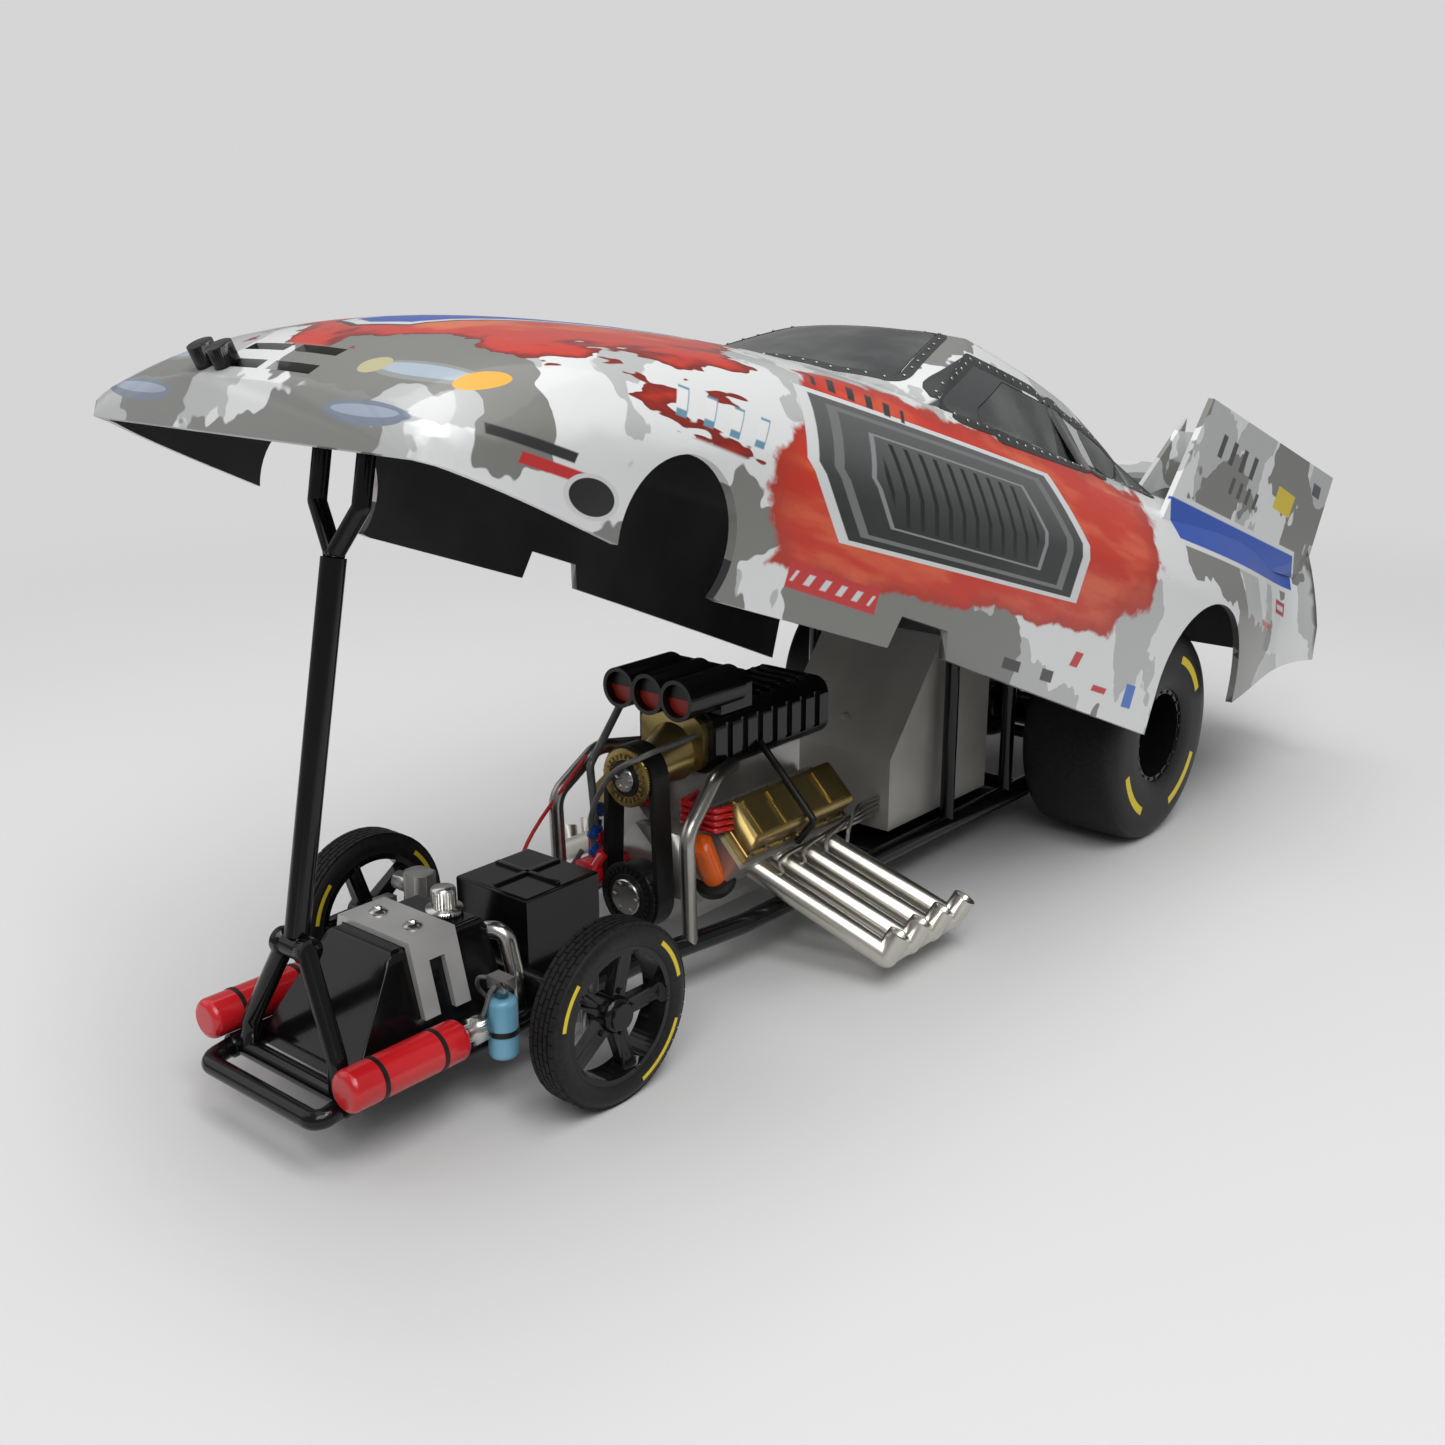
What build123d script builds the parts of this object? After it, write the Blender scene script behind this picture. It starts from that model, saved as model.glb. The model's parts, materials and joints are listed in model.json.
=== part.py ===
"""Die-cast scale model of a flip-body drag racing car, its one-piece body raised on a prop.

The nose points along -Y, the car's left side is +X and the wheels stand on z = 0.
"""
import os

from build123d import *

# Overall layout, mm
wheelbase = 127.4
open_angle = 20.5            # body raised on its prop, degrees from closed
hinge_overhang = 40.3        # body hinge, behind the rear axle
hinge_z = 37.6
fit_gap = 0.3                # between pieces that move on one another
seat_gap = 0.05              # between pieces that rest on one another

# Wheels
front_tyre_radius = 11.9
front_tyre_width = 4.8
front_outer_x = 26.0         # outer face of the tyre
front_rim_radius = 8.9
rear_tyre_radius = 19.0
rear_tyre_width = 18.4
rear_outer_x = 35.5
rear_rim_radius = 8.3
rim_wall = 0.8
spoke_count = 5
spindle_radius = 0.9
axle_radius = 1.6

# Frame
rail_radius = 1.5
rail_z = 8.0
front_rail_x = 11.0
rear_rail_x = 14.0
front_overhang = 30.9        # front axle to the rails' front ends
rear_overhang = 20.3
bar_radius = 1.2
hoop_set_back = 3.0          # prop pivot behind the rails' front ends
hoop_top_z = 23.6
prop_radius = 1.5
fork_half_width = 4.0
fork_length = 16.0
pin_radius = 0.8

# Front of the chassis
tank_set_back = 3.6
tank_length = 23.8
tank_top_z = 21.2
tank_half_width = 9.2
saddle_thickness = 0.8
battery_set_back = 2.3       # behind the front axle
battery_length = 13.2
battery_half_width = 6.8
battery_top_z = 21.2
bottle_radius = 2.6
bottle_length = 17.2
air_bottle_radius = 1.9

# Engine
engine_set_back = 34.7       # behind the front axle
engine_length = 29.0
block_half_width = 7.0
block_bottom_z = 6.4
deck_z = 19.0
bank_angle = 45.0
cover_length = 24.0
head_thickness = 5.6
blower_bottom_z = 28.4
blower_height = 9.2
blower_half_width = 7.4
blower_length = 27.0
hat_overhang = 6.5           # ahead of the blower
hat_length = 14.0
hat_centre_z = 40.8
throat_radius = 2.4
throat_pitch = 5.5
throat_wall = 0.6
pulley_reach = 4.2           # middle of the belt ahead of the engine
belt_width = 3.4
belt_thickness = 0.9
upper_pulley_z = 29.5
upper_pulley_radius = 3.8
lower_pulley_z = 11.5
lower_pulley_radius = 4.6
header_pipe_radius = 1.75
header_pitch = 5.2
tip_pitch = 5.7
header_end_x = 32.0
header_end_z = 4.8
header_rake = 7.0            # tips behind their ports

# Cockpit
tub_front_y = 14.0
tub_rear_y = 44.0
tub_half_width = 11.6
tub_floor_z = 9.9
sheet = 1.0

# Body, closed
wall = 1.2
glass_gap = 0.15
nose_overhang = 33.3         # front axle to the nose
tail_y = 126.0
rest_set_back = 13.1         # bar that the prop carries, behind the nose
rest_z = 18.0
tail_slope = 20.0            # degrees, top of the tail forward
plate_x = 34.0               # spill plates
plate_thickness = 1.0
front_arch = (-61.7, 11.0, 9.6)      # y, z, radius
rear_arch = (72.5, 13.0, 17.3)
hood_hole_y = -27.5
hood_hole_half_length = 12.0
hood_hole_half_width = 12.4
collar_width = 1.1

# Stations along the car
front_axle_y = -wheelbase / 2
rear_axle_y = wheelbase / 2
rail_front_y = front_axle_y - front_overhang
rail_rear_y = rear_axle_y + rear_overhang
hinge_y = rear_axle_y + hinge_overhang
hoop_top_y = rail_front_y + hoop_set_back
tank_front_y = rail_front_y + tank_set_back
tank_rear_y = tank_front_y + tank_length
battery_front_y = front_axle_y + battery_set_back
engine_front_y = front_axle_y + engine_set_back
engine_rear_y = engine_front_y + engine_length
pulley_y = engine_front_y - pulley_reach
nose_y = front_axle_y - nose_overhang
rest_y = nose_y + rest_set_back
parts = {}


def bar(start, end, radius):
    """Round bar between two points."""
    start, end = Vector(start), Vector(end)
    place = Plane(origin=start, z_dir=end - start)
    return place * Cylinder(radius, (end - start).length, align=(Align.CENTER, Align.CENTER, Align.MIN))


def tube(points, radius, bend):
    """Round bar along straight runs joined by arcs."""
    path = FilletPolyline(*points, radius=bend)
    return sweep(Plane(origin=path @ 0, z_dir=path % 0) * Circle(radius), path=path)


def block(x, y, z):
    """Box from its three (low, high) pairs."""
    size = (x[1] - x[0], y[1] - y[0], z[1] - z[0])
    low = Pos(x[0], y[0], z[0])
    return low * Box(*size, align=(Align.MIN, Align.MIN, Align.MIN))


def side_profile(points, x):
    """Outline in (y, z) drawn out between two x places."""
    face = Plane.YZ * make_face(Polyline(*points, close=True))
    return Pos(x[0], 0, 0) * extrude(face, x[1] - x[0])


def plan_profile(points, z):
    """Outline in (x, y) drawn up between two heights."""
    return Pos(0, 0, z[0]) * extrude(make_face(Polyline(*points, close=True)), z[1] - z[0])


def both_sides(shape):
    """The shape and its mirror image across the middle of the car."""
    return Compound([*shape.solids(), *mirror(shape, about=Plane.YZ).solids()])


def across(y, z, radius, x):
    """Round bar along X."""
    return bar((x[0], y, z), (x[1], y, z), radius)


def turned(profile, x, y, z):
    """Ring turned about the X axis line through (y, z); profile holds (x, radius) points."""
    face = make_face(Polyline(*[(px, pr) for px, pr in profile], close=True))
    return Pos(x, y, z) * revolve(face, Axis.X)


def front_wheel(side):
    """Ribbed narrow tyre and five-spoke wheel on a spindle."""
    r, rim, half = front_tyre_radius, front_rim_radius, front_tyre_width / 2
    x = side * (front_outer_x - half)
    tyre = [(-half + 0.5, rim), (-half, rim + 1.2), (-half + 0.2, r - 0.9), (-half + 1.0, r),
            (half - 1.0, r), (half - 0.2, r - 0.9), (half, rim + 1.2), (half - 0.5, rim)]
    rim_profile = [(-half + 0.4, rim - rim_wall), (-half + 0.4, rim - 0.02), (half - 0.4, rim - 0.02),
                   (half - 0.4, rim - rim_wall)]
    hub_bore = spindle_radius + fit_gap
    hub = [(-1.6, hub_bore), (-1.6, 2.4), (1.2, 2.4), (1.9, 1.9), (1.9, hub_bore)]
    wheel = turned(rim_profile, 0, 0, 0) + turned(hub, 0, 0, 0)
    spoke = plan_profile([(-0.7, 2.0), (0.9, 2.0), (0.6, rim - rim_wall / 2), (-0.6, rim - rim_wall / 2)],
                         (-1.1, 1.1))
    for number in range(spoke_count):
        wheel += Rot(360 / spoke_count * number, 0, 0) * spoke
    turn = Rot(0, 0, 0 if side > 0 else 180)
    place = Pos(x, front_axle_y, front_tyre_radius) * turn
    return place * turned(tyre, 0, 0, 0), place * wheel


def rear_wheel(side):
    """Wide slick and deep-dish wheel."""
    r, rim, half = rear_tyre_radius, rear_rim_radius, rear_tyre_width / 2
    x = side * (rear_outer_x - half)
    tyre = [(-half + 1.2, rim), (-half, rim + 3.5), (-half + 0.3, r - 3.5), (-half + 2.2, r - 0.6),
            (-half + 4.0, r), (half - 4.0, r), (half - 2.2, r - 0.6), (half - 0.3, r - 3.5),
            (half, rim + 3.5), (half - 1.2, rim)]
    disc_x = -half + 6.0
    wheel_profile = [(-half + 1.0, rim - rim_wall), (-half + 1.0, rim - 0.02), (half - 1.0, rim - 0.02),
                     (half - 1.0, rim - rim_wall), (disc_x + 1.2, rim - rim_wall - 0.6), (disc_x + 1.6, 3.0),
                     (disc_x + 3.4, 2.6), (disc_x + 3.4, axle_radius), (disc_x, axle_radius),
                     (disc_x, rim - rim_wall)]
    turn = Rot(0, 0, 0 if side > 0 else 180)
    place = Pos(x, rear_axle_y, rear_tyre_radius) * turn
    return place * turned(tyre, 0, 0, 0), place * turned(wheel_profile, 0, 0, 0)


for name, side in (("left", 1), ("right", -1)):
    parts["front_tyre_" + name], parts["front_wheel_" + name] = front_wheel(side)
    parts["rear_tyre_" + name], parts["rear_wheel_" + name] = rear_wheel(side)
shaft_end = rear_outer_x - rear_tyre_width + 6.0 + 3.4
parts["rear_axle_shaft"] = across(rear_axle_y, rear_tyre_radius, axle_radius, (-shaft_end, shaft_end))

# Frame rails, bars across, front hoop and bumper
rail = tube([(front_rail_x, rail_front_y, rail_z), (front_rail_x, -46, rail_z), (rear_rail_x, -26, rail_z),
             (rear_rail_x, rail_rear_y, rail_z)], rail_radius, 12)
rail_right = mirror(rail, about=Plane.YZ)
parts["frame_rail_left"] = rail
parts["frame_rail_right"] = rail_right
cross_rows = ((front_axle_y - 14.3, front_rail_x), (front_axle_y + 17.2, front_rail_x),
              (engine_rear_y + 7.0, rear_rail_x), (tub_rear_y + 8.0, rear_rail_x),
              (rear_axle_y + 18.3, rear_rail_x))       # y, half length
bars = [across(y, rail_z, bar_radius, (-half, half)) - rail - rail_right for y, half in cross_rows]
parts["frame_cross_bars"] = Compound([s for b in bars for s in b.solids()])

bumper_y = rail_front_y - rail_radius - 2.0
eye_half_width = 1.4
ear_inner_x = eye_half_width + fit_gap
hoop_foot_y = rail_front_y + bar_radius
hoop_leg = tube([(front_rail_x - 2.2, hoop_foot_y, rail_z), (front_rail_x - 2.6, hoop_foot_y + 0.4, rail_z + 4),
                 (ear_inner_x + 0.2, hoop_top_y, hoop_top_z)], bar_radius, 2.0)
ear = across(hoop_top_y, hoop_top_z, prop_radius + 0.2, (ear_inner_x, ear_inner_x + bar_radius))
hoop = hoop_leg + ear
hoop += mirror(hoop, about=Plane.YZ)
pin = across(hoop_top_y, hoop_top_z, pin_radius, (-ear_inner_x, ear_inner_x))
hoop -= across(hoop_top_y, hoop_top_z, prop_radius + 0.4, (-ear_inner_x, ear_inner_x)) - pin
hoop += pin
hoop += across(hoop_foot_y, rail_z, bar_radius, (-front_rail_x, front_rail_x))
bumper = tube([(front_rail_x, rail_front_y, rail_z), (front_rail_x, bumper_y, rail_z - 0.6),
               (-front_rail_x, bumper_y, rail_z - 0.6), (-front_rail_x, rail_front_y, rail_z)], bar_radius, 1.6)
parts["front_hoop"] = hoop + bumper - rail - rail_right

# Prop that holds the body up, as long as the raised rest bar needs it
hinge = Vector(0, hinge_y, hinge_z)
prop_foot = Vector(0, hoop_top_y, hoop_top_z)
raised_rest = hinge + (Vector(0, rest_y, rest_z) - hinge).rotate(Axis.X, -open_angle)
prop_reach = raised_rest - prop_foot
prop_length = prop_reach.length - bar_radius - seat_gap
prop_lean = prop_reach.get_angle(Vector(0, 0, 1))
fork_base = prop_length - fork_length
eye_bore = pin_radius + fit_gap
eye = across(0, 0, prop_radius, (-eye_half_width, eye_half_width)) - across(0, 0, eye_bore, (-2, 2))
stem = bar((0, 0, eye_bore + 0.2), (0, 0, fork_base), prop_radius)
prong = tube([(0, 0, fork_base - 0.5), (0.4, 0, fork_base + 0.8), (fork_half_width, 0, fork_base + 6.0),
              (fork_half_width, 0, prop_length)], 1.1, 0.6)
prop = eye + stem + prong + mirror(prong, about=Plane.YZ)
parts["body_prop"] = Pos(0, hoop_top_y, hoop_top_z) * Rot(-prop_lean, 0, 0) * prop

# Fuel tank with its saddle, cap and elbow
rail_top = rail_z + rail_radius


def tank_solid(grow):
    """Tank tapering upwards from its floor, grown by the saddle's thickness when asked."""
    low = [(-tank_half_width - grow, tank_front_y - grow), (tank_half_width + grow, tank_front_y - grow),
           (tank_half_width + grow, tank_rear_y + grow), (-tank_half_width - grow, tank_rear_y + grow)]
    top_half = tank_half_width - 3.2 + grow
    high = [(-top_half, tank_front_y + 8.5 - grow), (top_half, tank_front_y + 8.5 - grow),
            (top_half, tank_rear_y - 1.0 + grow), (-top_half, tank_rear_y - 1.0 + grow)]
    floor = Pos(0, 0, rail_top + 0.1) * make_face(Polyline(*low, close=True))
    roof = Pos(0, 0, tank_top_z + grow) * make_face(Polyline(*high, close=True))
    return loft([floor, roof], ruled=True)


tank = tank_solid(0)
tank = fillet(tank.edges().filter_by(GeomType.LINE).group_by(Axis.Z)[-1], 0.9)
tank_floor = block((-tank_half_width, tank_half_width), (tank_front_y + fit_gap, tank_rear_y),
                   (rail_z - 0.6, rail_top + 0.1))
tank += tank_floor - rail - rail_right
parts["fuel_tank"] = tank - parts["front_hoop"] - parts["frame_cross_bars"]
saddle_y = (tank_rear_y - 13.4, tank_rear_y - 6.2)
saddle = tank_solid(saddle_thickness) & block((-20, 20), saddle_y, (12.6, 40))
saddle -= tank_solid(seat_gap)
saddle -= block((-20, 20), (saddle_y[0] + 2.4, saddle_y[1] - 2.4), (10, tank_top_z - 2.0))
parts["tank_saddle"] = saddle
cap_y = tank_rear_y - 3.4
filler_cap = Pos(1.6, cap_y, tank_top_z + seat_gap) * (
    Cylinder(2.4, 0.8, align=(Align.CENTER, Align.CENTER, Align.MIN))
    + Pos(0, 0, 0.8) * Cylinder(1.5, 2.6, align=(Align.CENTER, Align.CENTER, Align.MIN)))
elbow_x, elbow_y = 9.6, tank_rear_y + 0.8
elbow_run = [(3.6, elbow_y - 2.6, 18.6), (8.0, elbow_y, 19.4), (elbow_x, elbow_y, 14.0),
             (elbow_x, elbow_y, rail_z)]
elbow = tube(elbow_run, 1.15, 1.9)
parts["tank_fittings"] = Compound([*filler_cap.solids(), *(elbow - parts["fuel_tank"] - rail).solids()])

battery_y = (battery_front_y, battery_front_y + battery_length)
battery = block((-battery_half_width, battery_half_width), battery_y, (rail_z - 1.2, battery_top_z))
battery = fillet(battery.edges().group_by(Axis.Z)[-1], 0.5)
tray = block((-front_rail_x, front_rail_x), (battery_y[0] + 1, battery_y[1] - 1), (rail_z - 2.2, rail_z - 1.2))
parts["battery_box"] = battery + (tray - rail - rail_right)

# Fire bottles with valves, and the air bottle
bottle_centre = Vector(rail_radius + bottle_radius + seat_gap, 0, 0).rotate(Axis.Y, -51.3)
bottle_x = front_rail_x + bottle_centre.X
bottle_y = rail_front_y - 1.7
bottle_z = rail_z + bottle_centre.Z
bottle = across(0, 0, bottle_radius, (0, bottle_length))
bottle = fillet(bottle.edges().filter_by(GeomType.CIRCLE), 1.0)
bottle = Pos(bottle_x, bottle_y, bottle_z) * Rot(0, 0, 90) * bottle
valve = Pos(bottle_x, bottle_y + bottle_length + seat_gap, bottle_z) * Rot(-90, 0, 0) * (
    Cylinder(1.1, 1.6, align=(Align.CENTER, Align.CENTER, Align.MIN))
    + Pos(0, 0, 1.6) * Cylinder(1.7, 2.0, align=(Align.CENTER, Align.CENTER, Align.MIN)))
parts["fire_bottles"] = both_sides(bottle)
air_x = front_rail_x + rail_radius + air_bottle_radius + seat_gap
air_y = tank_rear_y - 5.8
air_length = 8.0
air_bottom_z = rail_z - 1.4
air = bar((air_x, air_y, air_bottom_z), (air_x, air_y, air_bottom_z + air_length), air_bottle_radius)
air = fillet(air.edges().filter_by(GeomType.CIRCLE), 0.8)
parts["air_bottle"] = air
air_valve = Pos(air_x, air_y, air_bottom_z + air_length + seat_gap) * (
    Cylinder(0.8, 1.2, align=(Align.CENTER, Align.CENTER, Align.MIN))
    + Pos(0, 0, 1.9) * Box(3.0, 2.0, 1.6))
parts["bottle_valves"] = Compound([*both_sides(valve).solids(), *air_valve.solids()])

# Front axle with knuckles and steering gear
knuckle_x = front_outer_x - front_tyre_width - 2.6
beam = across(front_axle_y, front_tyre_radius, bar_radius, (-knuckle_x, knuckle_x))
pad = block((front_rail_x - 1.4, front_rail_x + 1.4), (front_axle_y - 1.4, front_axle_y + 1.4),
            (rail_top - 0.6, front_tyre_radius))
axle = beam + pad + mirror(pad, about=Plane.YZ)
parts["front_axle"] = axle - rail - rail_right - battery
knuckle = block((knuckle_x, knuckle_x + 1.8), (front_axle_y - 1.4, front_axle_y + 1.4),
                (front_tyre_radius - 3.4, front_tyre_radius + 3.4))
knuckle += across(front_axle_y, front_tyre_radius, spindle_radius, (knuckle_x, front_outer_x - 1.0))
knuckle += block((knuckle_x, knuckle_x + 1.2), (front_axle_y - 5.0, front_axle_y),
                 (front_tyre_radius - 3.4, front_tyre_radius - 2.0))
gear_z = (front_tyre_radius + bar_radius + seat_gap, tank_top_z)
gear = block((-13.6, -9.4), (front_axle_y - 1.8, front_axle_y + 1.6), gear_z)
gear = fillet(gear.edges().filter_by(Axis.Z), 1.2)
gear += across(front_axle_y, gear_z[1] - 2.4, 1.3, (-16.2, -13.6))
parts["steering_knuckles"] = Compound([*both_sides(knuckle - axle).solids(), *gear.solids()])

# Engine block, heads and covers
engine_y = (engine_front_y, engine_rear_y)
middle_y = (engine_y[0] + engine_y[1]) / 2
block_top_z = deck_z + 1.0
half_core = [(block_half_width - 2.0, block_bottom_z), (block_half_width, 10.0), (block_half_width + 2.4, 14.0),
             (block_half_width - 2.6, block_top_z)]
core = half_core + [(-x, z) for x, z in reversed(half_core)]
engine_face = Plane.XZ * make_face(Polyline(*core, close=True))
engine = Pos(0, engine_y[0], 0) * extrude(engine_face, -engine_length)
parts["engine_block"] = engine - rail - rail_right
bank = Pos(block_half_width - 0.1, middle_y, 16.6) * Rot(0, bank_angle, 0)
upward = (Align.CENTER, Align.CENTER, Align.MIN)
head = bank * Box(10.4, cover_length + 2.0, head_thickness, align=upward)
flange_thickness = 1.2
cover_top = Box(7.4, cover_length - 1.4, 3.6, align=upward)
cover_top = fillet(cover_top.edges().filter_by(Axis.Y).group_by(Axis.Z)[-1], 1.0)
cover = Box(9.0, cover_length, flange_thickness, align=upward) + Pos(0, 0, flange_thickness) * cover_top
cover = bank * Pos(0, 0, head_thickness + seat_gap) * cover
parts["cylinder_heads"] = both_sides(head - engine)
parts["valve_covers"] = both_sides(cover)

# Supercharger with its case ribs, snout, injector hat and butterflies
blower_y = (engine_y[1] + 2.6 - blower_length, engine_y[1] + 2.6)
blower_top_z = blower_bottom_z + blower_height
manifold_y = (blower_y[0] + 0.4, engine_y[1] - 2.0)
manifold = block((-5.4, 5.4), manifold_y, (block_top_z + seat_gap, blower_bottom_z))
parts["intake_manifold"] = manifold - both_sides(head)
blower = block((-blower_half_width, blower_half_width), blower_y, (blower_bottom_z + seat_gap, blower_top_z))
blower = fillet(blower.edges().filter_by(Axis.Y), 2.6)
rib_count = 7
rib_pitch = 3.5
rib_depth = 0.5
for number in range(rib_count):
    rib_y = blower_y[0] + 2.4 + number * rib_pitch
    for x in ((-20, -blower_half_width + rib_depth), (blower_half_width - rib_depth, 20)):
        blower -= block(x, (rib_y, rib_y + 1.4), (blower_bottom_z + 2, blower_top_z - 1.6))
parts["supercharger"] = blower - both_sides(cover)
hat_z = blower_top_z + seat_gap
hat_y = (blower_y[0] - hat_overhang, blower_y[0] - hat_overhang + hat_length)
throats = (-throat_pitch, 0, throat_pitch)
throat_depth = 4.0
hat_half_width = throat_pitch + throat_radius
hat = block((-hat_half_width, hat_half_width), (blower_y[0] + 0.6, hat_y[1]), (hat_z, hat_centre_z + 2.0))
hat = fillet(hat.edges().filter_by(Axis.Y).group_by(Axis.Z)[-1], 1.8)
for x in throats:
    hat += bar((x, hat_y[0], hat_centre_z), (x, hat_y[1] - 2, hat_centre_z), throat_radius + throat_wall)
for x in throats:
    hat -= bar((x, hat_y[0] - 1, hat_centre_z), (x, hat_y[0] + throat_depth, hat_centre_z), throat_radius)
parts["injector_hat"] = hat - blower
flap_y = (hat_y[0] + 1.2, hat_y[0] + 1.8)
flap_radius = throat_radius - seat_gap
flaps = [bar((x, flap_y[0], hat_centre_z), (x, flap_y[1], hat_centre_z), flap_radius) for x in throats]
parts["butterflies"] = Compound([s for flap in flaps for s in flap.solids()])

# Blower drive
belt_y = (pulley_y - belt_width / 2, pulley_y + belt_width / 2)
snout_y = (belt_y[1] + seat_gap, blower_y[0] - seat_gap)
snout_plate_y = snout_y[1] - 1.2
snout_centre = (0, snout_plate_y, upper_pulley_z + 1.6)
snout = block((-blower_half_width + 1.4, blower_half_width - 1.4), (snout_plate_y, snout_y[1]),
              (blower_bottom_z + 0.4, blower_top_z - 0.6))
snout = fillet(snout.edges().filter_by(Axis.Y), 2.4)
snout += loft([Plane((0, snout_y[0], upper_pulley_z), z_dir=(0, 1, 0)) * Circle(2.6),
               Plane(snout_centre, z_dir=(0, 1, 0)) * Circle(4.4)])
parts["blower_snout"] = snout


def pulley(z, radius):
    """Flanged pulley inside the belt."""
    return (bar((0, belt_y[0], z), (0, belt_y[1], z), radius)
            + bar((0, belt_y[0] - 0.6, z), (0, belt_y[0], z), radius + 0.5))


crank_stub = bar((0, belt_y[1], lower_pulley_z), (0, engine_front_y, lower_pulley_z), 3.0)
upper_pulley = pulley(upper_pulley_z, upper_pulley_radius)
lower_pulley = pulley(lower_pulley_z, lower_pulley_radius) + crank_stub
parts["blower_pulleys"] = Compound([*upper_pulley.solids(), *lower_pulley.solids()])


def belt_outline(gap):
    """Loop around both pulleys at a distance from their rims."""
    rounds = [Pos(0, upper_pulley_z) * Circle(upper_pulley_radius + gap),
              Pos(0, lower_pulley_z) * Circle(lower_pulley_radius + gap)]
    return make_hull(Sketch(children=rounds).edges())


loop = belt_outline(belt_thickness) - belt_outline(seat_gap)
parts["blower_belt"] = Pos(0, belt_y[0], 0) * extrude(Plane.XZ * loop, -belt_width)

# Fuel pump with its line, filter and vent tubes
pump_x, pump_z = -8.0, 13.0
riser_y = engine_front_y - 4.5
riser_top_z = 19.0
pump = bar((pump_x, engine_front_y - 7.5, pump_z), (pump_x, engine_front_y, pump_z), 2.4)
pump += bar((pump_x, riser_y, pump_z), (pump_x, riser_y, riser_top_z), 1.3)
pump += bar((pump_x, riser_y - 1.5, pump_z), (pump_x + 2.6, riser_y - 1.5, pump_z + 4.0), 1.1)
parts["fuel_pump"] = pump - engine - lower_pulley - parts["blower_belt"]
line_end = (-hat_half_width - 0.2, hat_y[0] + 7.0, hat_centre_z)
line_run = [(pump_x, riser_y, riser_top_z), (pump_x - 1.0, riser_y, 29.0),
            (-hat_half_width - 2.4, line_end[1], 38.0), line_end]
fuel_line = tube(line_run, 0.6, 1.4)
parts["fuel_lines"] = fuel_line - hat - pump
cover_end_y = middle_y - cover_length / 2
filter_foot = (9.6, cover_end_y - 0.5, 13.4)
filter_top = (11.0, cover_end_y - 5.5, 21.4)
oil_filter = bar(filter_foot, filter_top, 1.7)
vent_x = 12.8
vent_y = engine_front_y - 7.4
vent = tube([(vent_x, vent_y, rail_z), (vent_x, vent_y - 0.6, 24.5), (vent_x - 1.4, vent_y + 7.0, 30.4),
             (blower_half_width + 0.6, vent_y + 15.0, 29.8)], 1.1, 4.0)
parts["vent_tubes"] = both_sides(vent - blower - both_sides(cover) - both_sides(head) - rail)
parts["oil_filter"] = oil_filter - engine - head - cover - vent - rail

# Plug leads from the manifold to the covers, looped higher on the right, and the strap over each cover
lead_count = 4
lead_radius = 0.45
lead_front_y = manifold_y[0] - 4.6
cover_front_y = cover_end_y + 0.7
leads = []
for number in range(lead_count):
    lead_z = block_top_z + 2.1 + number
    start, end = (3.6, manifold_y[0], lead_z), (11.6, cover_front_y, lead_z)
    left_run = [start, (4.4, lead_front_y, lead_z), (10.6, lead_front_y, lead_z), end]
    right_run = [start, (4.6, manifold_y[0] - 2.4, lead_z),
                 (6.4 + 0.7 * number, lead_front_y, 32.0 - 0.9 * number),
                 (9.6 + 0.35 * number, lead_front_y, 26.6), end]
    left_lead = tube(left_run, lead_radius, 0.8) - cover - head - manifold
    right_lead = tube(right_run, lead_radius, 0.8) - cover - head - manifold
    leads += left_lead.solids() + mirror(right_lead, about=Plane.YZ).solids()
parts["plug_leads"] = Compound(leads)
strap_radius = 0.55
strap_height = head_thickness + flange_thickness + 3.6 + strap_radius + 2 * seat_gap
strap_run = [bank * Pos(across_bank, 0, along_bank) for across_bank, along_bank in
             ((-4.4, strap_height), (4.4, strap_height), (5.0, head_thickness + 0.6))]
strap = tube([(blower_half_width, middle_y, blower_bottom_z + 3.0), *[place.position for place in strap_run]],
             strap_radius, 0.7)
parts["blower_strap"] = both_sides(strap - blower - cover - head)

# Zoomie headers: four pipes a side and the bar that joins their ends
pipe_count = 4
port_x, port_z = block_half_width + 5.6, 15.4
outlet = Vector(1.5, 1.2, 3.4)       # from the bend to the open end


def header():
    """Left-hand pipes from the head's ports down and out to the joined tips."""
    pipes = None
    bends = []
    for number in range(pipe_count):
        place = number - (pipe_count - 1) / 2
        port = Vector(port_x, middle_y + place * header_pitch, port_z)
        bend = Vector(header_end_x, middle_y + header_rake + place * tip_pitch, header_end_z)
        pipe = bar(port, bend, header_pipe_radius) + bar(bend, bend + outlet, header_pipe_radius)
        pipe += Pos(*bend) * Sphere(header_pipe_radius)
        pipe -= bar(bend + outlet * 0.25, bend + outlet * 1.3, header_pipe_radius - 0.6)
        pipes = pipe if pipes is None else pipes + pipe
        bends.append(bend)
    return pipes + bar(bends[0], bends[-1], header_pipe_radius - 0.2)


pipes = header() - head - engine - cover - rail
parts["headers_left"] = pipes
parts["headers_right"] = mirror(pipes, about=Plane.YZ)

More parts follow.
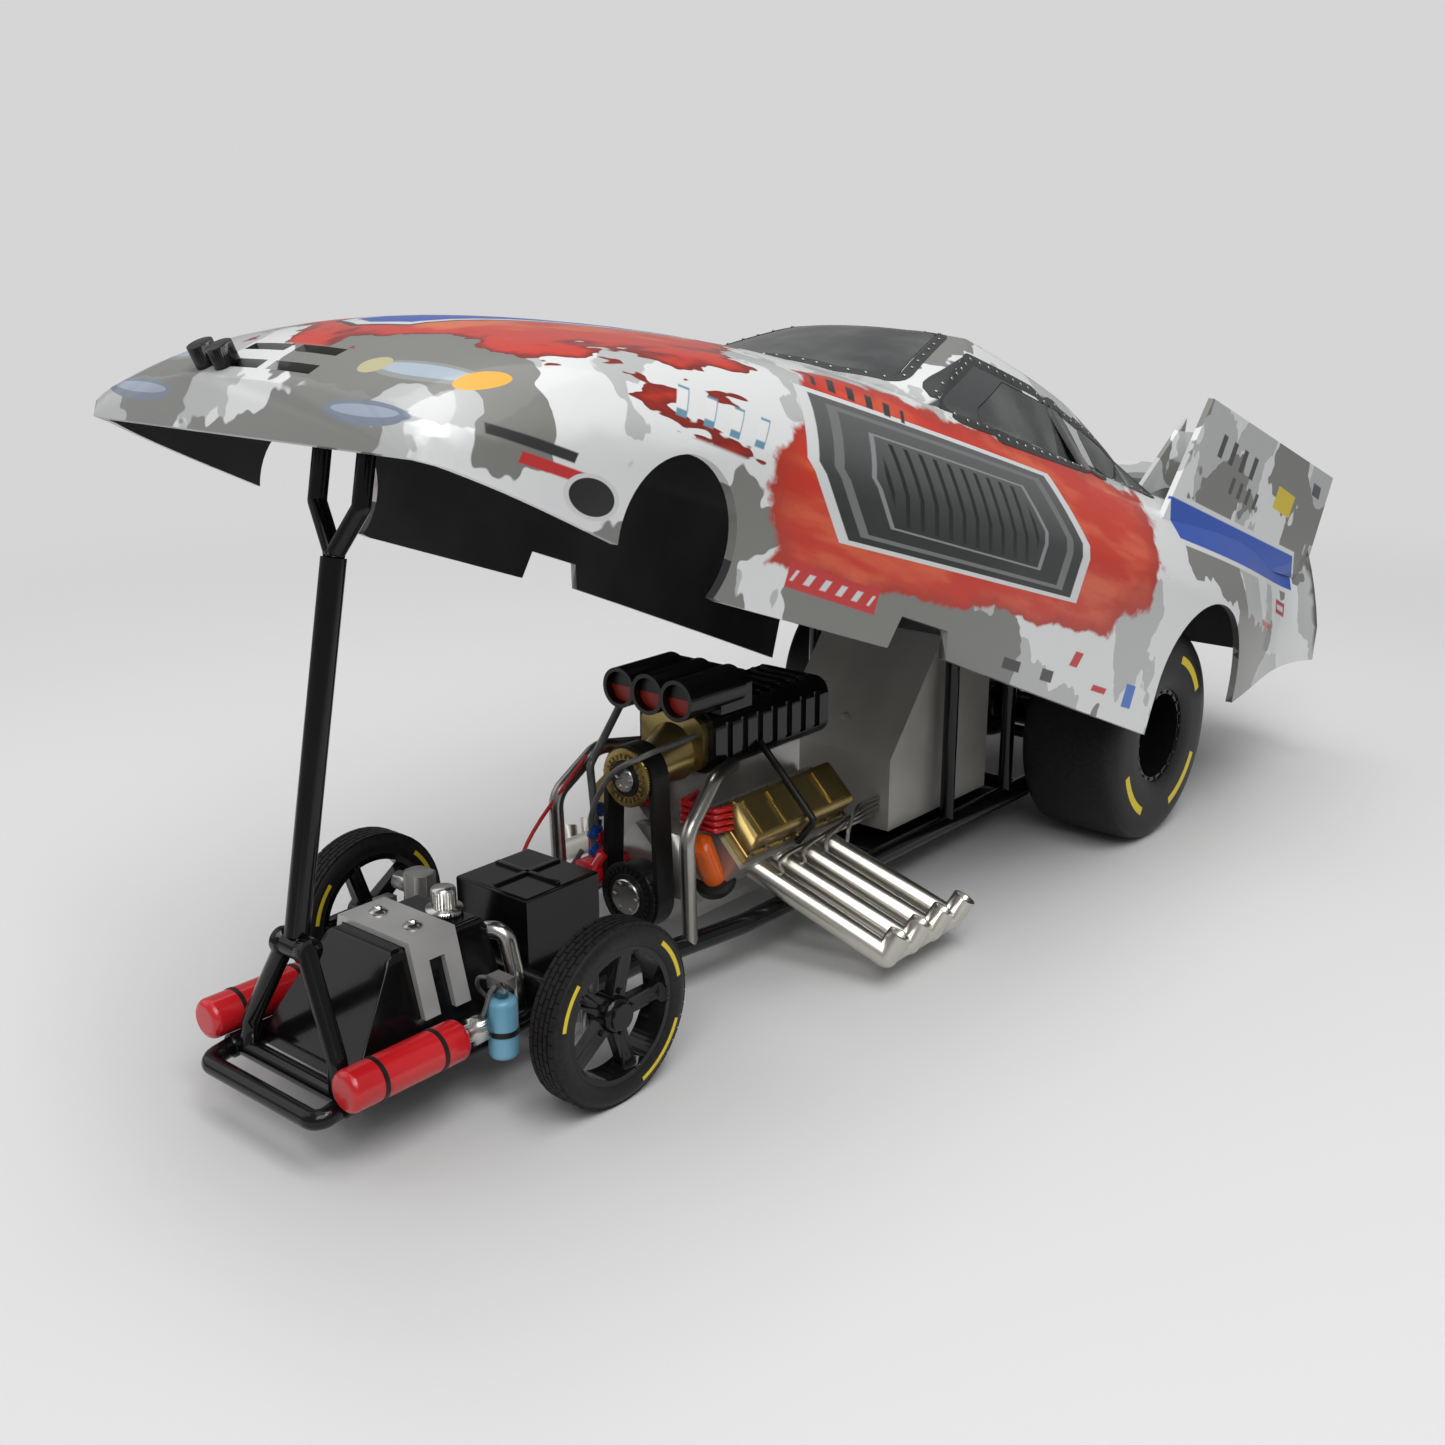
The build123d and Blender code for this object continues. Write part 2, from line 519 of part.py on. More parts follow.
# Gearbox, floor, cockpit, roll cage
box_y = engine_y[1]
shaft_z = 13.0
parts["bellhousing"] = loft([Plane((0, box_y, shaft_z), z_dir=(0, 1, 0)) * Circle(6.0),
                             Plane((0, box_y + 5.4, shaft_z), z_dir=(0, 1, 0)) * Circle(4.6)]) - engine
floor_thickness = 0.9
floor_z = rail_z - rail_radius - floor_thickness
floor_y = (4.0, 56.0)
floor = block((-rear_rail_x, rear_rail_x), floor_y, (floor_z, rail_z - rail_radius - seat_gap))
mount_radius = 1.1
mount_places = (12.0, 46.0)
boss_height = 4.0
for y in mount_places:
    floor += bar((0, y, floor_z), (0, y, floor_z + boss_height), 2.6)
    floor -= bar((0, y, floor_z), (0, y, floor_z + boss_height), mount_radius)
parts["floor_pan"] = floor - rail - rail_right - parts["frame_cross_bars"]
dash_y, dash_z = tub_front_y + 14.4, 40.0
knee_z = 22.0
tub_outline = [(tub_front_y, tub_floor_z), (tub_rear_y, tub_floor_z), (tub_rear_y, 30.0),
               (tub_rear_y - 4.0, 38.0), (dash_y, dash_z), (tub_front_y, knee_z)]
tub_low = tub_floor_z + sheet
tub_hollow = [(tub_front_y + sheet, tub_low), (tub_rear_y + 1, tub_low), (tub_rear_y + 1, dash_z + 4),
              (dash_y + sheet, dash_z + 4), (dash_y + sheet, dash_z), (tub_front_y + sheet, knee_z)]
tub = side_profile(tub_outline, (-tub_half_width, tub_half_width))
tub -= side_profile(tub_hollow, (-tub_half_width + sheet, tub_half_width - sheet))
parts["cockpit_tub"] = tub
seat_y = tub_rear_y - 3.0
seat_low = tub_low + seat_gap
seat_top_z = 34.0
seat_outline = [(seat_y - 15, seat_low), (seat_y, seat_low), (seat_y + 2, seat_top_z), (seat_y - 1, seat_top_z),
                (seat_y - 4, 16.0), (seat_y - 15, 15.0)]
parts["driver_seat"] = side_profile(seat_outline, (-6.5, 6.5))
grip_centre = (0, tub_front_y + 10.0, 27.6)
grip_plane = Plane(grip_centre, z_dir=(0, 1, 0.18))
grip = grip_plane * extrude(Ellipse(4.6, 2.6) - Ellipse(3.6, 1.7), 1.0)
grip += grip_plane * Box(1.6, 5.0, 1.0, align=upward)
column = bar((0, tub_front_y + 3.2, 26.0), grip_centre, 0.9)
parts["steering_wheel"] = column + grip - tub
cage_x = rear_rail_x
cage_turn = 5.0
main_hoop = (tub_rear_y + 3.0, 52.0)         # y, top height
front_cage_hoop = (dash_y - 0.4, 46.0)
cage = None
for y, top in (main_hoop, front_cage_hoop):
    half_arch = [(cage_x, y, rail_z), (cage_x, y, top - 8.0), (cage_x - cage_turn, y + 0.5, top)]
    arch = tube(half_arch + [(-px, py, pz) for px, py, pz in reversed(half_arch)], bar_radius, 3.0)
    cage = arch if cage is None else cage + arch
for x in (cage_x - cage_turn, cage_turn - cage_x):
    rear_end = (x, main_hoop[0] + 0.5, main_hoop[1])
    cage += bar(rear_end, (x, front_cage_hoop[0] + 0.5, front_cage_hoop[1]), bar_radius)
parts["roll_cage"] = cage - rail - rail_right - tub

# Rear axle housing, its mounts and the body hinge
housing_bore = axle_radius + fit_gap
housing = across(rear_axle_y, rear_tyre_radius, 3.0, (-15.6, 15.6))
housing += Pos(0, rear_axle_y, rear_tyre_radius) * Sphere(6.6)
housing += bar((0, rear_axle_y - 9.0, rear_tyre_radius), (0, rear_axle_y, rear_tyre_radius), 3.4)
for x in (-rear_rail_x, rear_rail_x):
    mount_y = (rear_axle_y - 3.0, rear_axle_y + 3.0)
    housing += block((x - 1.3, x + 1.3), mount_y, (rail_top - 0.8, rear_tyre_radius))
housing -= across(rear_axle_y, rear_tyre_radius, housing_bore, (-20, 20))
parts["rear_axle_housing"] = housing - rail - rail_right
hinge_radius = 1.4
lug_x = (8.0, 10.0)
lug = across(hinge_y, hinge_z, hinge_radius + fit_gap + 1.3, lug_x)
stay = tube([(rear_rail_x, rail_rear_y - 6.0, rail_z), (rear_rail_x - 1.0, rail_rear_y + 6.0, rail_z + 7.0),
             (9.0, hinge_y - 1.0, hinge_z - 2.2)], bar_radius, 3.0)
hinge_frame = lug + stay - across(hinge_y, hinge_z, hinge_radius + fit_gap, (-40, 40))
hinge_frame += mirror(hinge_frame, about=Plane.YZ)
hinge_frame += bar((-11.2, hinge_y - 9.5, 24.6), (11.2, hinge_y - 9.5, 24.6), bar_radius * 0.8)
parts["hinge_frame"] = hinge_frame - rail - rail_right

# Body shell: sections from nose to tail, closed position
sill_z = 2.0
# y, sill half width, belt half width, belt height, shoulder half width, shoulder height, crown height, slope
body_rows = (
    (nose_y, 27.6, 28.6, 12.6, 18.0, 15.6, 16.8, 0),
    (nose_y + 6.5, 31.0, 31.6, 14.8, 21.0, 21.2, 23.2, 0),
    (-64.0, 32.0, 33.3, 21.0, 25.5, 31.2, 34.4, 0),
    (-32.0, 33.6, 35.0, 25.0, 28.0, 37.4, 41.6, 0),
    (5.0, 36.2, 37.6, 27.0, 30.0, 41.5, 45.0, 0),
    (45.0, 38.6, 40.0, 29.0, 31.5, 43.6, 47.6, 0),
    (85.0, 39.2, 40.4, 31.0, 32.5, 47.6, 52.0, 6),
    (tail_y, 37.4, 38.6, 36.0, 33.0, 55.0, 58.6, tail_slope),
)
slope_z = 40.0


def body_section(row, inset, shift):
    """Face across the body at one station, drawn in by the wall and moved along by shift."""
    y, sill, belt, belt_z, shoulder, shoulder_z, crown_z, slope = row
    lean = tan_degrees(slope)

    def point(x, z):
        return (x, y + shift - (z - slope_z) * lean, z)

    base = point(sill - inset, sill_z - inset)
    side = point(belt - inset, belt_z)
    edge = point(shoulder - inset * 0.7, shoulder_z - inset)
    bulge = point(0.58 * belt + 0.42 * shoulder - inset * 0.9, 0.5 * (belt_z + shoulder_z) - inset * 0.4 + 1.0)
    crown = point(0, crown_z - inset)

    def other(p):
        return (-p[0], p[1], p[2])

    edges = [Line(other(base), base), Line(base, side), ThreePointArc(side, bulge, edge),
             ThreePointArc(edge, crown, other(edge)), ThreePointArc(other(edge), other(bulge), other(side)),
             Line(other(side), other(base))]
    return make_face(edges)


def tan_degrees(angle):
    """Tangent of an angle in degrees."""
    direction = Vector(1, 0, 0).rotate(Axis.Z, angle)
    return direction.Y / direction.X


def lower_body(inset):
    """Loft from nose to tail."""
    rows = [body_section(row, inset, 0) for row in body_rows]
    if inset:
        rows[0] = body_section(body_rows[0], inset, inset)
        rows[-1] = body_section(body_rows[-1], inset, -inset)
    return loft(rows)


# height, front middle, front corner y, front half width, rear corner y, rear half width, rear middle
cabin_rows = (
    (34.0, -33.0, -18.0, 30.6, 78.0, 30.0, 84.0),
    (46.0, -13.5, -4.5, 25.4, 62.0, 25.0, 67.0),
    (56.2, 5.0, 9.5, 18.0, 42.0, 17.6, 44.0),
)


def cabin(inset):
    """Cabin top lofted upwards, with its roof edge rounded."""
    faces = []
    for z, front, front_y, front_x, rear_y, rear_x, rear in cabin_rows:
        fx, rx = front_x - inset, rear_x - inset
        left = (rx + fx) / 2 + 1.2
        fy, ry, middle = front_y + inset, rear_y - inset, (front_y + rear_y) / 2
        edges = [ThreePointArc((-fx, fy), (0, front + inset), (fx, fy)),
                 ThreePointArc((fx, fy), (left, middle), (rx, ry)),
                 ThreePointArc((rx, ry), (0, rear - inset), (-rx, ry)),
                 ThreePointArc((-rx, ry), (-left, middle), (-fx, fy))]
        faces.append(Pos(0, 0, z - (inset if z > 40 else inset * 2)) * make_face(edges))
    shape = loft(faces)
    return fillet(shape.edges().group_by(Axis.Z)[-1], 4.0 - inset)


outer = lower_body(0) + cabin(0)
skin = outer - lower_body(wall) - cabin(wall)

# Lower edge of the body, seen from the side, with the exhaust notch
skirt = [(-120, -20), (-120, 10.8), (-94, 10.8), (-71, 8.6), (-52, 6.0), (-19.4, 6.5), (-18.2, 11.0),
         (-7.4, 11.0), (-6.0, 7.2), (55.5, 5.0), (89.0, 15.0), (134, 31.0), (150, 31.0), (150, -20)]
skin -= side_profile(skirt, (-60, 60))
for y, z, radius in (front_arch, rear_arch):
    skin -= across(y, z, radius, (-60, 60))
rear_arch_y, rear_arch_z, rear_arch_radius = rear_arch
skin -= block((-60, 60), (rear_arch_y - rear_arch_radius, rear_arch_y + 6.0), (0, rear_arch_z))


def hood_plug(inset):
    """Upright plug through the hood, smaller than its opening by inset."""
    plan = Pos(0, hood_hole_y) * Ellipse(hood_hole_half_width - inset, hood_hole_half_length - inset)
    return Pos(0, 0, 25) * extrude(plan, 45)


collar = (skin & hood_plug(glass_gap)) - hood_plug(collar_width)

# Window outlines: sides in (y, z), windshield and rear window in (x, y)
side_outline = [(-11.6, 40.6), (5.0, 50.9), (25.5, 52.0), (30.6, 44.4)]
quarter_outline = [(34.0, 45.0), (29.4, 51.6), (42.0, 50.6), (56.5, 45.8)]
screen_outline = [(-20.6, -10.6), (-14.2, 6.6), (14.2, 6.6), (20.6, -10.6), (13.0, -14.2), (-13.0, -14.2)]
rear_outline = [(-15.0, 46.5), (-18.0, 70.0), (18.0, 70.0), (15.0, 46.5)]
corner_radius = 1.6


def cut_and_pane(face, depth, place):
    """Cutter for a window and the slightly smaller one that gives its pane."""
    small = offset(face, -glass_gap)
    return place * extrude(face, depth), place * extrude(small, depth)


def outline_face(points):
    """Flat face inside the points, its corners rounded."""
    face = make_face(Polyline(*points, close=True))
    return fillet(face.vertices(), corner_radius)


panes = {}
for name, points in (("side_windows", side_outline), ("quarter_windows", quarter_outline)):
    cutter, small = cut_and_pane(outline_face(points), 40, Pos(8, 0, 0) * Plane.YZ)
    panes[name] = both_sides(skin & small)
    skin -= cutter
    skin -= mirror(cutter, about=Plane.YZ)
for name, points in (("windshield", screen_outline), ("rear_window", rear_outline)):
    cutter, small = cut_and_pane(outline_face(points), 40, Pos(0, 0, 40))
    panes[name] = skin & small
    skin -= cutter
skin -= hood_plug(0)

# Grille slots and inserts, two by two on the nose's slope, and the pair of drums beside them
slope_angle = 45.0
grille_centre = Pos(0, nose_y + 3.5, 20.0) * Rot(slope_angle, 0, 0)
slot_half_width = 3.7
slot_height = 1.7
slot_pitch = (8.9, 3.9)              # across, up the slope
inserts = []
for column_place in (-0.5, 0.5):
    for row_place in (-0.5, 0.5):
        place = grille_centre * Pos(column_place * slot_pitch[0], row_place * slot_pitch[1], 0)
        skin -= place * Box(2 * slot_half_width, slot_height, 6.0)
        insert = Box(2 * (slot_half_width - glass_gap), slot_height - 2 * glass_gap, 0.5)
        inserts.append(place * Pos(0, 0, -0.9) * insert)
drum_radius = 1.5
drum_height = 3.2
drum_places = (-10.6, -7.0)          # x
drum_foot = Pos(0, nose_y + 2.4, 18.0) * Rot(slope_angle, 0, 0)
drums = [drum_foot * Pos(x, 0, 0) * Cylinder(drum_radius, 2 * drum_height) - outer for x in drum_places]
grille = Compound([s for insert in inserts for s in insert.solids()])
nose_drums = Compound([s for drum in drums for s in drum.solids()])

panes["side_windows"] = Compound([*panes["side_windows"].solids(), *panes.pop("quarter_windows").solids()])
flip = {"body_shell": skin, "injector_collar": collar, "grille_inserts": grille, "nose_pins": nose_drums,
        **panes}

# Spill plates, spoiler blade and gussets
plate_outline = [(52.0, 38.0), (62.0, 63.4), (127.0, 66.0), (123.0, 44.0)]
plate = side_profile(plate_outline, (plate_x, plate_x + plate_thickness))
flip["spill_plates"] = both_sides(plate - outer)
blade_outline = [(109.0, 57.0), (123.0, 63.6), (122.4, 64.8), (108.4, 58.2)]
blade = side_profile(blade_outline, (-plate_x + seat_gap, plate_x - seat_gap))
flip["rear_spoiler"] = blade - outer
gusset = side_profile([(54.0, 44.0), (67.0, 61.0), (70.0, 44.0)], (plate_x - 6.0, plate_x - 5.2))
gusset += block((plate_x - 5.2, plate_x - seat_gap), (64.6, 65.6), (48, 58))
flip["spoiler_braces"] = both_sides(gusset - outer)

# Struts inside the body, the rest for the prop and the hinge tube
room = lower_body(wall)
rest_bar = across(rest_y, rest_z, bar_radius, (-60, 60)) & room
cross_bar = across(-46.0, 30.0, bar_radius, (-60, 60)) & room
hinge_tube = across(hinge_y, hinge_z, hinge_radius, (-60, 60)) & room
struts = rest_bar + cross_bar + hinge_tube
flip["body_struts"] = struts - skin

for name, shape in flip.items():
    parts[name] = shape.rotate(Axis((0, hinge_y, hinge_z), (1, 0, 0)), -open_angle)

# Origin under the middle of the whole model
extent = Compound([s for shape in parts.values() for s in shape.solids()]).bounding_box()
to_origin = Pos(0, -(extent.min.Y + extent.max.Y) / 2, 0)
print("moved along y by", round(to_origin.position.Y, 4), "size", extent.size)
os.makedirs("parts", exist_ok=True)
for name, shape in parts.items():
    export_step(to_origin * shape, "parts/" + name + ".step")
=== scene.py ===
"""Finishes, small fittings and studio for a die-cast model of a flip-body drag racing car."""
import json
import math
from functools import partialmethod, reduce

import bmesh
import bpy
from mathutils import Matrix, Vector
from mathutils.bvhtree import BVHTree


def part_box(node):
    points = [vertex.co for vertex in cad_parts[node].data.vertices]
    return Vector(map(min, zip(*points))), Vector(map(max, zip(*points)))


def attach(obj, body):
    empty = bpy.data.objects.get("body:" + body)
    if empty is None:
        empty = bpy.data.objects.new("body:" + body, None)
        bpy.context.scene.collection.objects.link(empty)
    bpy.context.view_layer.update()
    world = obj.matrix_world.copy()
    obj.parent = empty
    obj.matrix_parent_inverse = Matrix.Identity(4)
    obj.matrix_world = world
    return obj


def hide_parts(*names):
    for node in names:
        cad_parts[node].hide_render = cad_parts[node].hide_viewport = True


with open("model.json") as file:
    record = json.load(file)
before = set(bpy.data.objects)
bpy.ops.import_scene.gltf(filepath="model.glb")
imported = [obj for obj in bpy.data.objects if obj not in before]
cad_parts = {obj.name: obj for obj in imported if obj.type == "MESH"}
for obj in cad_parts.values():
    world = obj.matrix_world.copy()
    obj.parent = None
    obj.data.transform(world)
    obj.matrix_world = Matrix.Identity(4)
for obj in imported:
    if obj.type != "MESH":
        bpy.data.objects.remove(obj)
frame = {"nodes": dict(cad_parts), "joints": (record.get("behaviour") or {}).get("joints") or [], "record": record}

bl_info = {
    "name": "Flip-body drag car model",
    "version": (1, 0, 0),
    "blender": (4, 5, 0),
    "location": "View3D > Sidebar > Drag car",
    "description": "Dresses the packed model with paint, rubber, plating and small fittings",
    "category": "Object",
}

MM = 0.001
TURN = 2 * math.pi
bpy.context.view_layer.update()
JOINTS = {joint["name"]: joint for joint in frame["joints"]}
BODY_OF = {node: body for body, nodes in frame["record"]["behaviour"]["bodies"].items() for node in nodes}
HINGE = Vector(JOINTS["body_tilt"]["pos_m"])
FRONT_HUB = Vector(JOINTS["front_left_spin"]["pos_m"])
REAR_HUB = Vector(JOINTS["rear_axle_spin"]["pos_m"])
MIDDLE_Y = (FRONT_HUB.y + REAR_HUB.y) / 2
OPEN_ANGLE = math.radians(20.5)
RAISE = Matrix.Translation(HINGE) @ Matrix.Rotation(-OPEN_ANGLE, 4, "X") @ Matrix.Translation(-HINGE)
LOWER = RAISE.inverted()
UP, LEFT, BACK = Vector((0, 0, 1)), Vector((1, 0, 0)), Vector((0, 1, 0))


def at(x, y, z):
    """Millimetres from mid wheelbase on the ground, as a point of the frame."""
    return Vector((x, y, z)) * MM + Vector((0, MIDDLE_Y, 0))


def grey(value):
    return (value,) * 3


def spokes(count, across, up, shift=0.0):
    """Unit vectors evenly round a circle, from one direction towards another."""
    turns = [TURN * (number + shift) / count for number in range(count)]
    return [across * math.cos(turn) + up * math.sin(turn) for turn in turns]


def colour_property(name, description, default):
    return bpy.props.FloatVectorProperty(name=name, description=description, subtype="COLOR", default=default)


def length_property(name, description, default):
    return bpy.props.FloatProperty(name=name, description=description, subtype="DISTANCE", unit="LENGTH",
                                   default=default)


def count_property(name, description, default):
    return bpy.props.IntProperty(name=name, description=description, default=default, min=1)


class DragCarLook(bpy.types.PropertyGroup):
    """Sizes and colours that a user would change."""

    paint_white: colour_property("Camouflage white", "Palest patch of the paint", (0.68, 0.69, 0.69))
    paint_light: colour_property("Camouflage light grey", "Middle patch of the paint", (0.44, 0.45, 0.445))
    paint_dark: colour_property("Camouflage grey", "Darkest patch of the paint", (0.19, 0.19, 0.178))
    flash_red: colour_property("Flash red", "Red of the flames and side flash", (0.54, 0.032, 0.014))
    stripe_blue: colour_property("Stripe blue", "Blue of the hood stripe and side bar", (0.005, 0.072, 0.44))
    mark_yellow: colour_property("Tyre mark", "Yellow of the plain arcs on the tyres", (0.72, 0.55, 0.03))
    border_width: length_property("Window border", "Width of the riveted strips round the windows", 1.7 * MM)
    rivet_pitch: length_property("Rivet pitch", "Space between rivets on the window borders", 2.5 * MM)
    rivet_size: length_property("Rivet size", "Diameter of a rivet head", 0.55 * MM)
    tread_rows: count_property("Tread rows", "Ribs across a front tyre", 5)
    tread_blocks: count_property("Tread blocks", "Blocks round a front tyre", 44)


class Tap:
    """One shader socket; sums on it add Math nodes to the same tree."""

    def __init__(self, paint, socket):
        self.paint = paint
        self.socket = socket

    def math(self, operation, *others):
        return self.paint.math(operation, self, *others)

    __add__ = __radd__ = partialmethod(math, "ADD")
    __sub__ = partialmethod(math, "SUBTRACT")
    __mul__ = __rmul__ = partialmethod(math, "MULTIPLY")
    __truediv__ = partialmethod(math, "DIVIDE")
    __abs__ = partialmethod(math, "ABSOLUTE")
    larger = partialmethod(math, "MAXIMUM")
    smaller = partialmethod(math, "MINIMUM")
    squared = partialmethod(math, "POWER", 2.0)
    zigzag = partialmethod(math, "PINGPONG")     # from 0 up to a width and back, over and over

    def __rsub__(self, other):
        return self.paint.math("SUBTRACT", other, self)


class Paint:
    """A material under construction, ending in one Principled shader."""

    def __init__(self, name, **constants):
        self.material = bpy.data.materials.new(name)
        self.material.use_nodes = True
        self.tree = self.material.node_tree
        self.shader = self.tree.nodes["Principled BSDF"]
        self.coat(**constants)

    def node(self, kind, sockets, out=0, **settings):
        """Adds a node, sets it up, feeds its sockets and gives one output."""
        made = self.tree.nodes.new(kind)
        for key, value in settings.items():
            setattr(made, key, value)
        for key, value in sockets.items():
            self.feed(made.inputs[key], value)
        return Tap(self, made.outputs[out])

    def math(self, operation, *values):
        return self.node("ShaderNodeMath", dict(enumerate(values)), operation=operation)

    def feed(self, socket, value):
        if isinstance(value, Tap):
            self.tree.links.new(value.socket, socket)
        elif socket.type == "RGBA" and len(value) == 3:
            socket.default_value = (*value, 1.0)
        else:
            socket.default_value = value

    def coat(self, **inputs):
        """Feeds the Principled shader and gives the material."""
        for key, value in inputs.items():
            self.feed(self.shader.inputs[key.replace("_", " ")], value)
        return self.material

    def place(self):
        return self.node("ShaderNodeTexCoord", {}, "Object")

    def millimetres(self, turn=0.0):
        """Millimetres from mid wheelbase, with the raised body turned down about its hinge when asked."""
        shift = HINGE - Matrix.Rotation(turn, 3, "X") @ HINGE - Vector((0, MIDDLE_Y, 0))
        return self.node("ShaderNodeMapping", {"Vector": self.place(), "Location": shift / MM,
                                               "Rotation": (turn, 0.0, 0.0), "Scale": (1 / MM,) * 3})

    def axes(self, vector):
        split = self.node("ShaderNodeSeparateXYZ", {0: vector})
        return [Tap(self, output) for output in split.socket.node.outputs]

    def stretched(self, vector, x, y, z):
        return self.node("ShaderNodeMapping", {"Vector": vector, "Scale": (x, y, z)})

    def noise(self, vector, scale, detail=2.0, rough=0.5):
        return self.node("ShaderNodeTexNoise",
                         {"Vector": vector, "Scale": scale, "Detail": detail, "Roughness": rough})

    def mix(self, factor, low, high):
        """Colour mix, by the numbers of its colour sockets."""
        return self.node("ShaderNodeMix", {"Factor": factor, 6: low, 7: high}, 2, data_type="RGBA")

    def step(self, value, low, high):
        """Rises from 0 at low to 1 at high, or falls when low is above high."""
        if low > high:
            return 1.0 - self.step(value, high, low)
        return self.node("ShaderNodeMapRange", {"Value": value, "From Min": low, "From Max": high},
                         interpolation_type="SMOOTHSTEP")

    def bump(self, height, strength, distance):
        return self.node("ShaderNodeBump", {"Height": height, "Strength": strength, "Distance": distance})


def worn(name, colour, lighter, rough, metal=0.0, grain=900.0, relief=0.00002, **constants):
    """A moulded, plated or painted finish with fine mottling in its colour, gloss and surface."""
    paint = Paint(name, **constants)
    place = paint.place()
    fine = paint.noise(place, grain, 4.0, 0.6)
    broad = paint.noise(place, grain / 12, 3.0)
    tone = paint.mix(paint.step(broad, 0.3, 0.7), colour, lighter)
    return paint.coat(Base_Color=tone, Metallic=metal, Roughness=rough + 0.1 * (fine - 0.5),
                      Normal=paint.bump(fine, 0.25, relief))


EDGE = 0.12     # softness of painted edges, mm
PLATE_FOOT = 50.0     # marks above this height are on the spill plates, mm
FLASH_HALF_LENGTH, FLASH_HALF_HEIGHT = 52.0, 12.6
PANEL_HALF_LENGTH, PANEL_HALF_HEIGHT = 32.0, 8.4
# Lines round the side panel: from and to in shares of its half size, colour
PANEL_RINGS = ((0.99, 1.06, (0.62, 0.63, 0.63)), (0.84, 0.9, (0.16, 0.165, 0.165)),
               (0.64, 0.67, (0.24, 0.245, 0.25)))
# Blank marks on the body's sides: y, z, half length, half height, slant, dash, colour
SIDE_MARKS = (
    (-33.0, 11.6, 9.0, 1.6, 0, 0, (0.5, 0.03, 0.03)),
    (-33.0, 11.6, 8.0, 0.7, 0.6, 1.6, grey(0.6)),
    (-85.5, 15.6, 5.4, 0.55, 0.2, 0, grey(0.03)),
    (-81.0, 13.9, 6.0, 0.6, 0.2, 0, (0.5, 0.03, 0.03)),
    (-57.8, 26.0, 8.4, 1.9, 0.5, 2.1, (0.12, 0.25, 0.34)),
    (-57.8, 26.3, 8.0, 1.3, 0.5, 2.1, grey(0.7)),
    (-30.4, 36.1, 8.6, 0.9, 0.4, 1.7, (0.03, 0.03, 0.035)),
    (10.5, 9.3, 2.4, 0.8, 0, 0, grey(0.04)),
    (20.9, 9.4, 1.7, 0.9, 0, 0, grey(0.06)),
    (28.0, 13.1, 1.2, 1.2, 0.4, 0, (0.5, 0.03, 0.03)),
    (37.0, 9.8, 2.2, 0.5, 0.3, 0, (0.5, 0.03, 0.03)),
    (46.6, 10.2, 1.5, 1.9, 0, 0, (0.05, 0.16, 0.5)),
    (112.0, 36.5, 3.0, 1.3, 0, 0, (0.4, 0.02, 0.02)),
    (112.0, 36.5, 2.2, 0.5, 0, 0, grey(0.6)),
    (101.0, 31.5, 4.2, 0.5, 0.2, 0, (0.45, 0.04, 0.03)),
    (78.0, 57.3, 11.0, 2.1, 0.25, 2.6, grey(0.05)),
    (84.0, 52.2, 7.0, 1.5, 0.25, 2.0, grey(0.06)),
    (104.0, 55.5, 4.6, 2.2, 0.25, 0, (0.65, 0.5, 0.02)),
    (119.5, 61.4, 2.2, 1.2, 0, 0, (0.06, 0.07, 0.1)),
)
# Painted lamps on the nose: x, z, half width, half height, colour
NOSE_MARKS = (
    (20.8, 20.4, 6.4, 1.4, (0.26, 0.27, 0.26)),
    (20.8, 20.5, 5.6, 0.9, (0.36, 0.43, 0.5)),
    (14.6, 20.4, 1.7, 1.2, (0.45, 0.42, 0.24)),
    (26.2, 20.6, 1.5, 1.6, (0.75, 0.36, 0.02)),
    (20.0, 14.6, 6.4, 1.3, (0.17, 0.2, 0.26)),
    (20.0, 14.8, 5.2, 0.6, (0.3, 0.35, 0.44)),
)


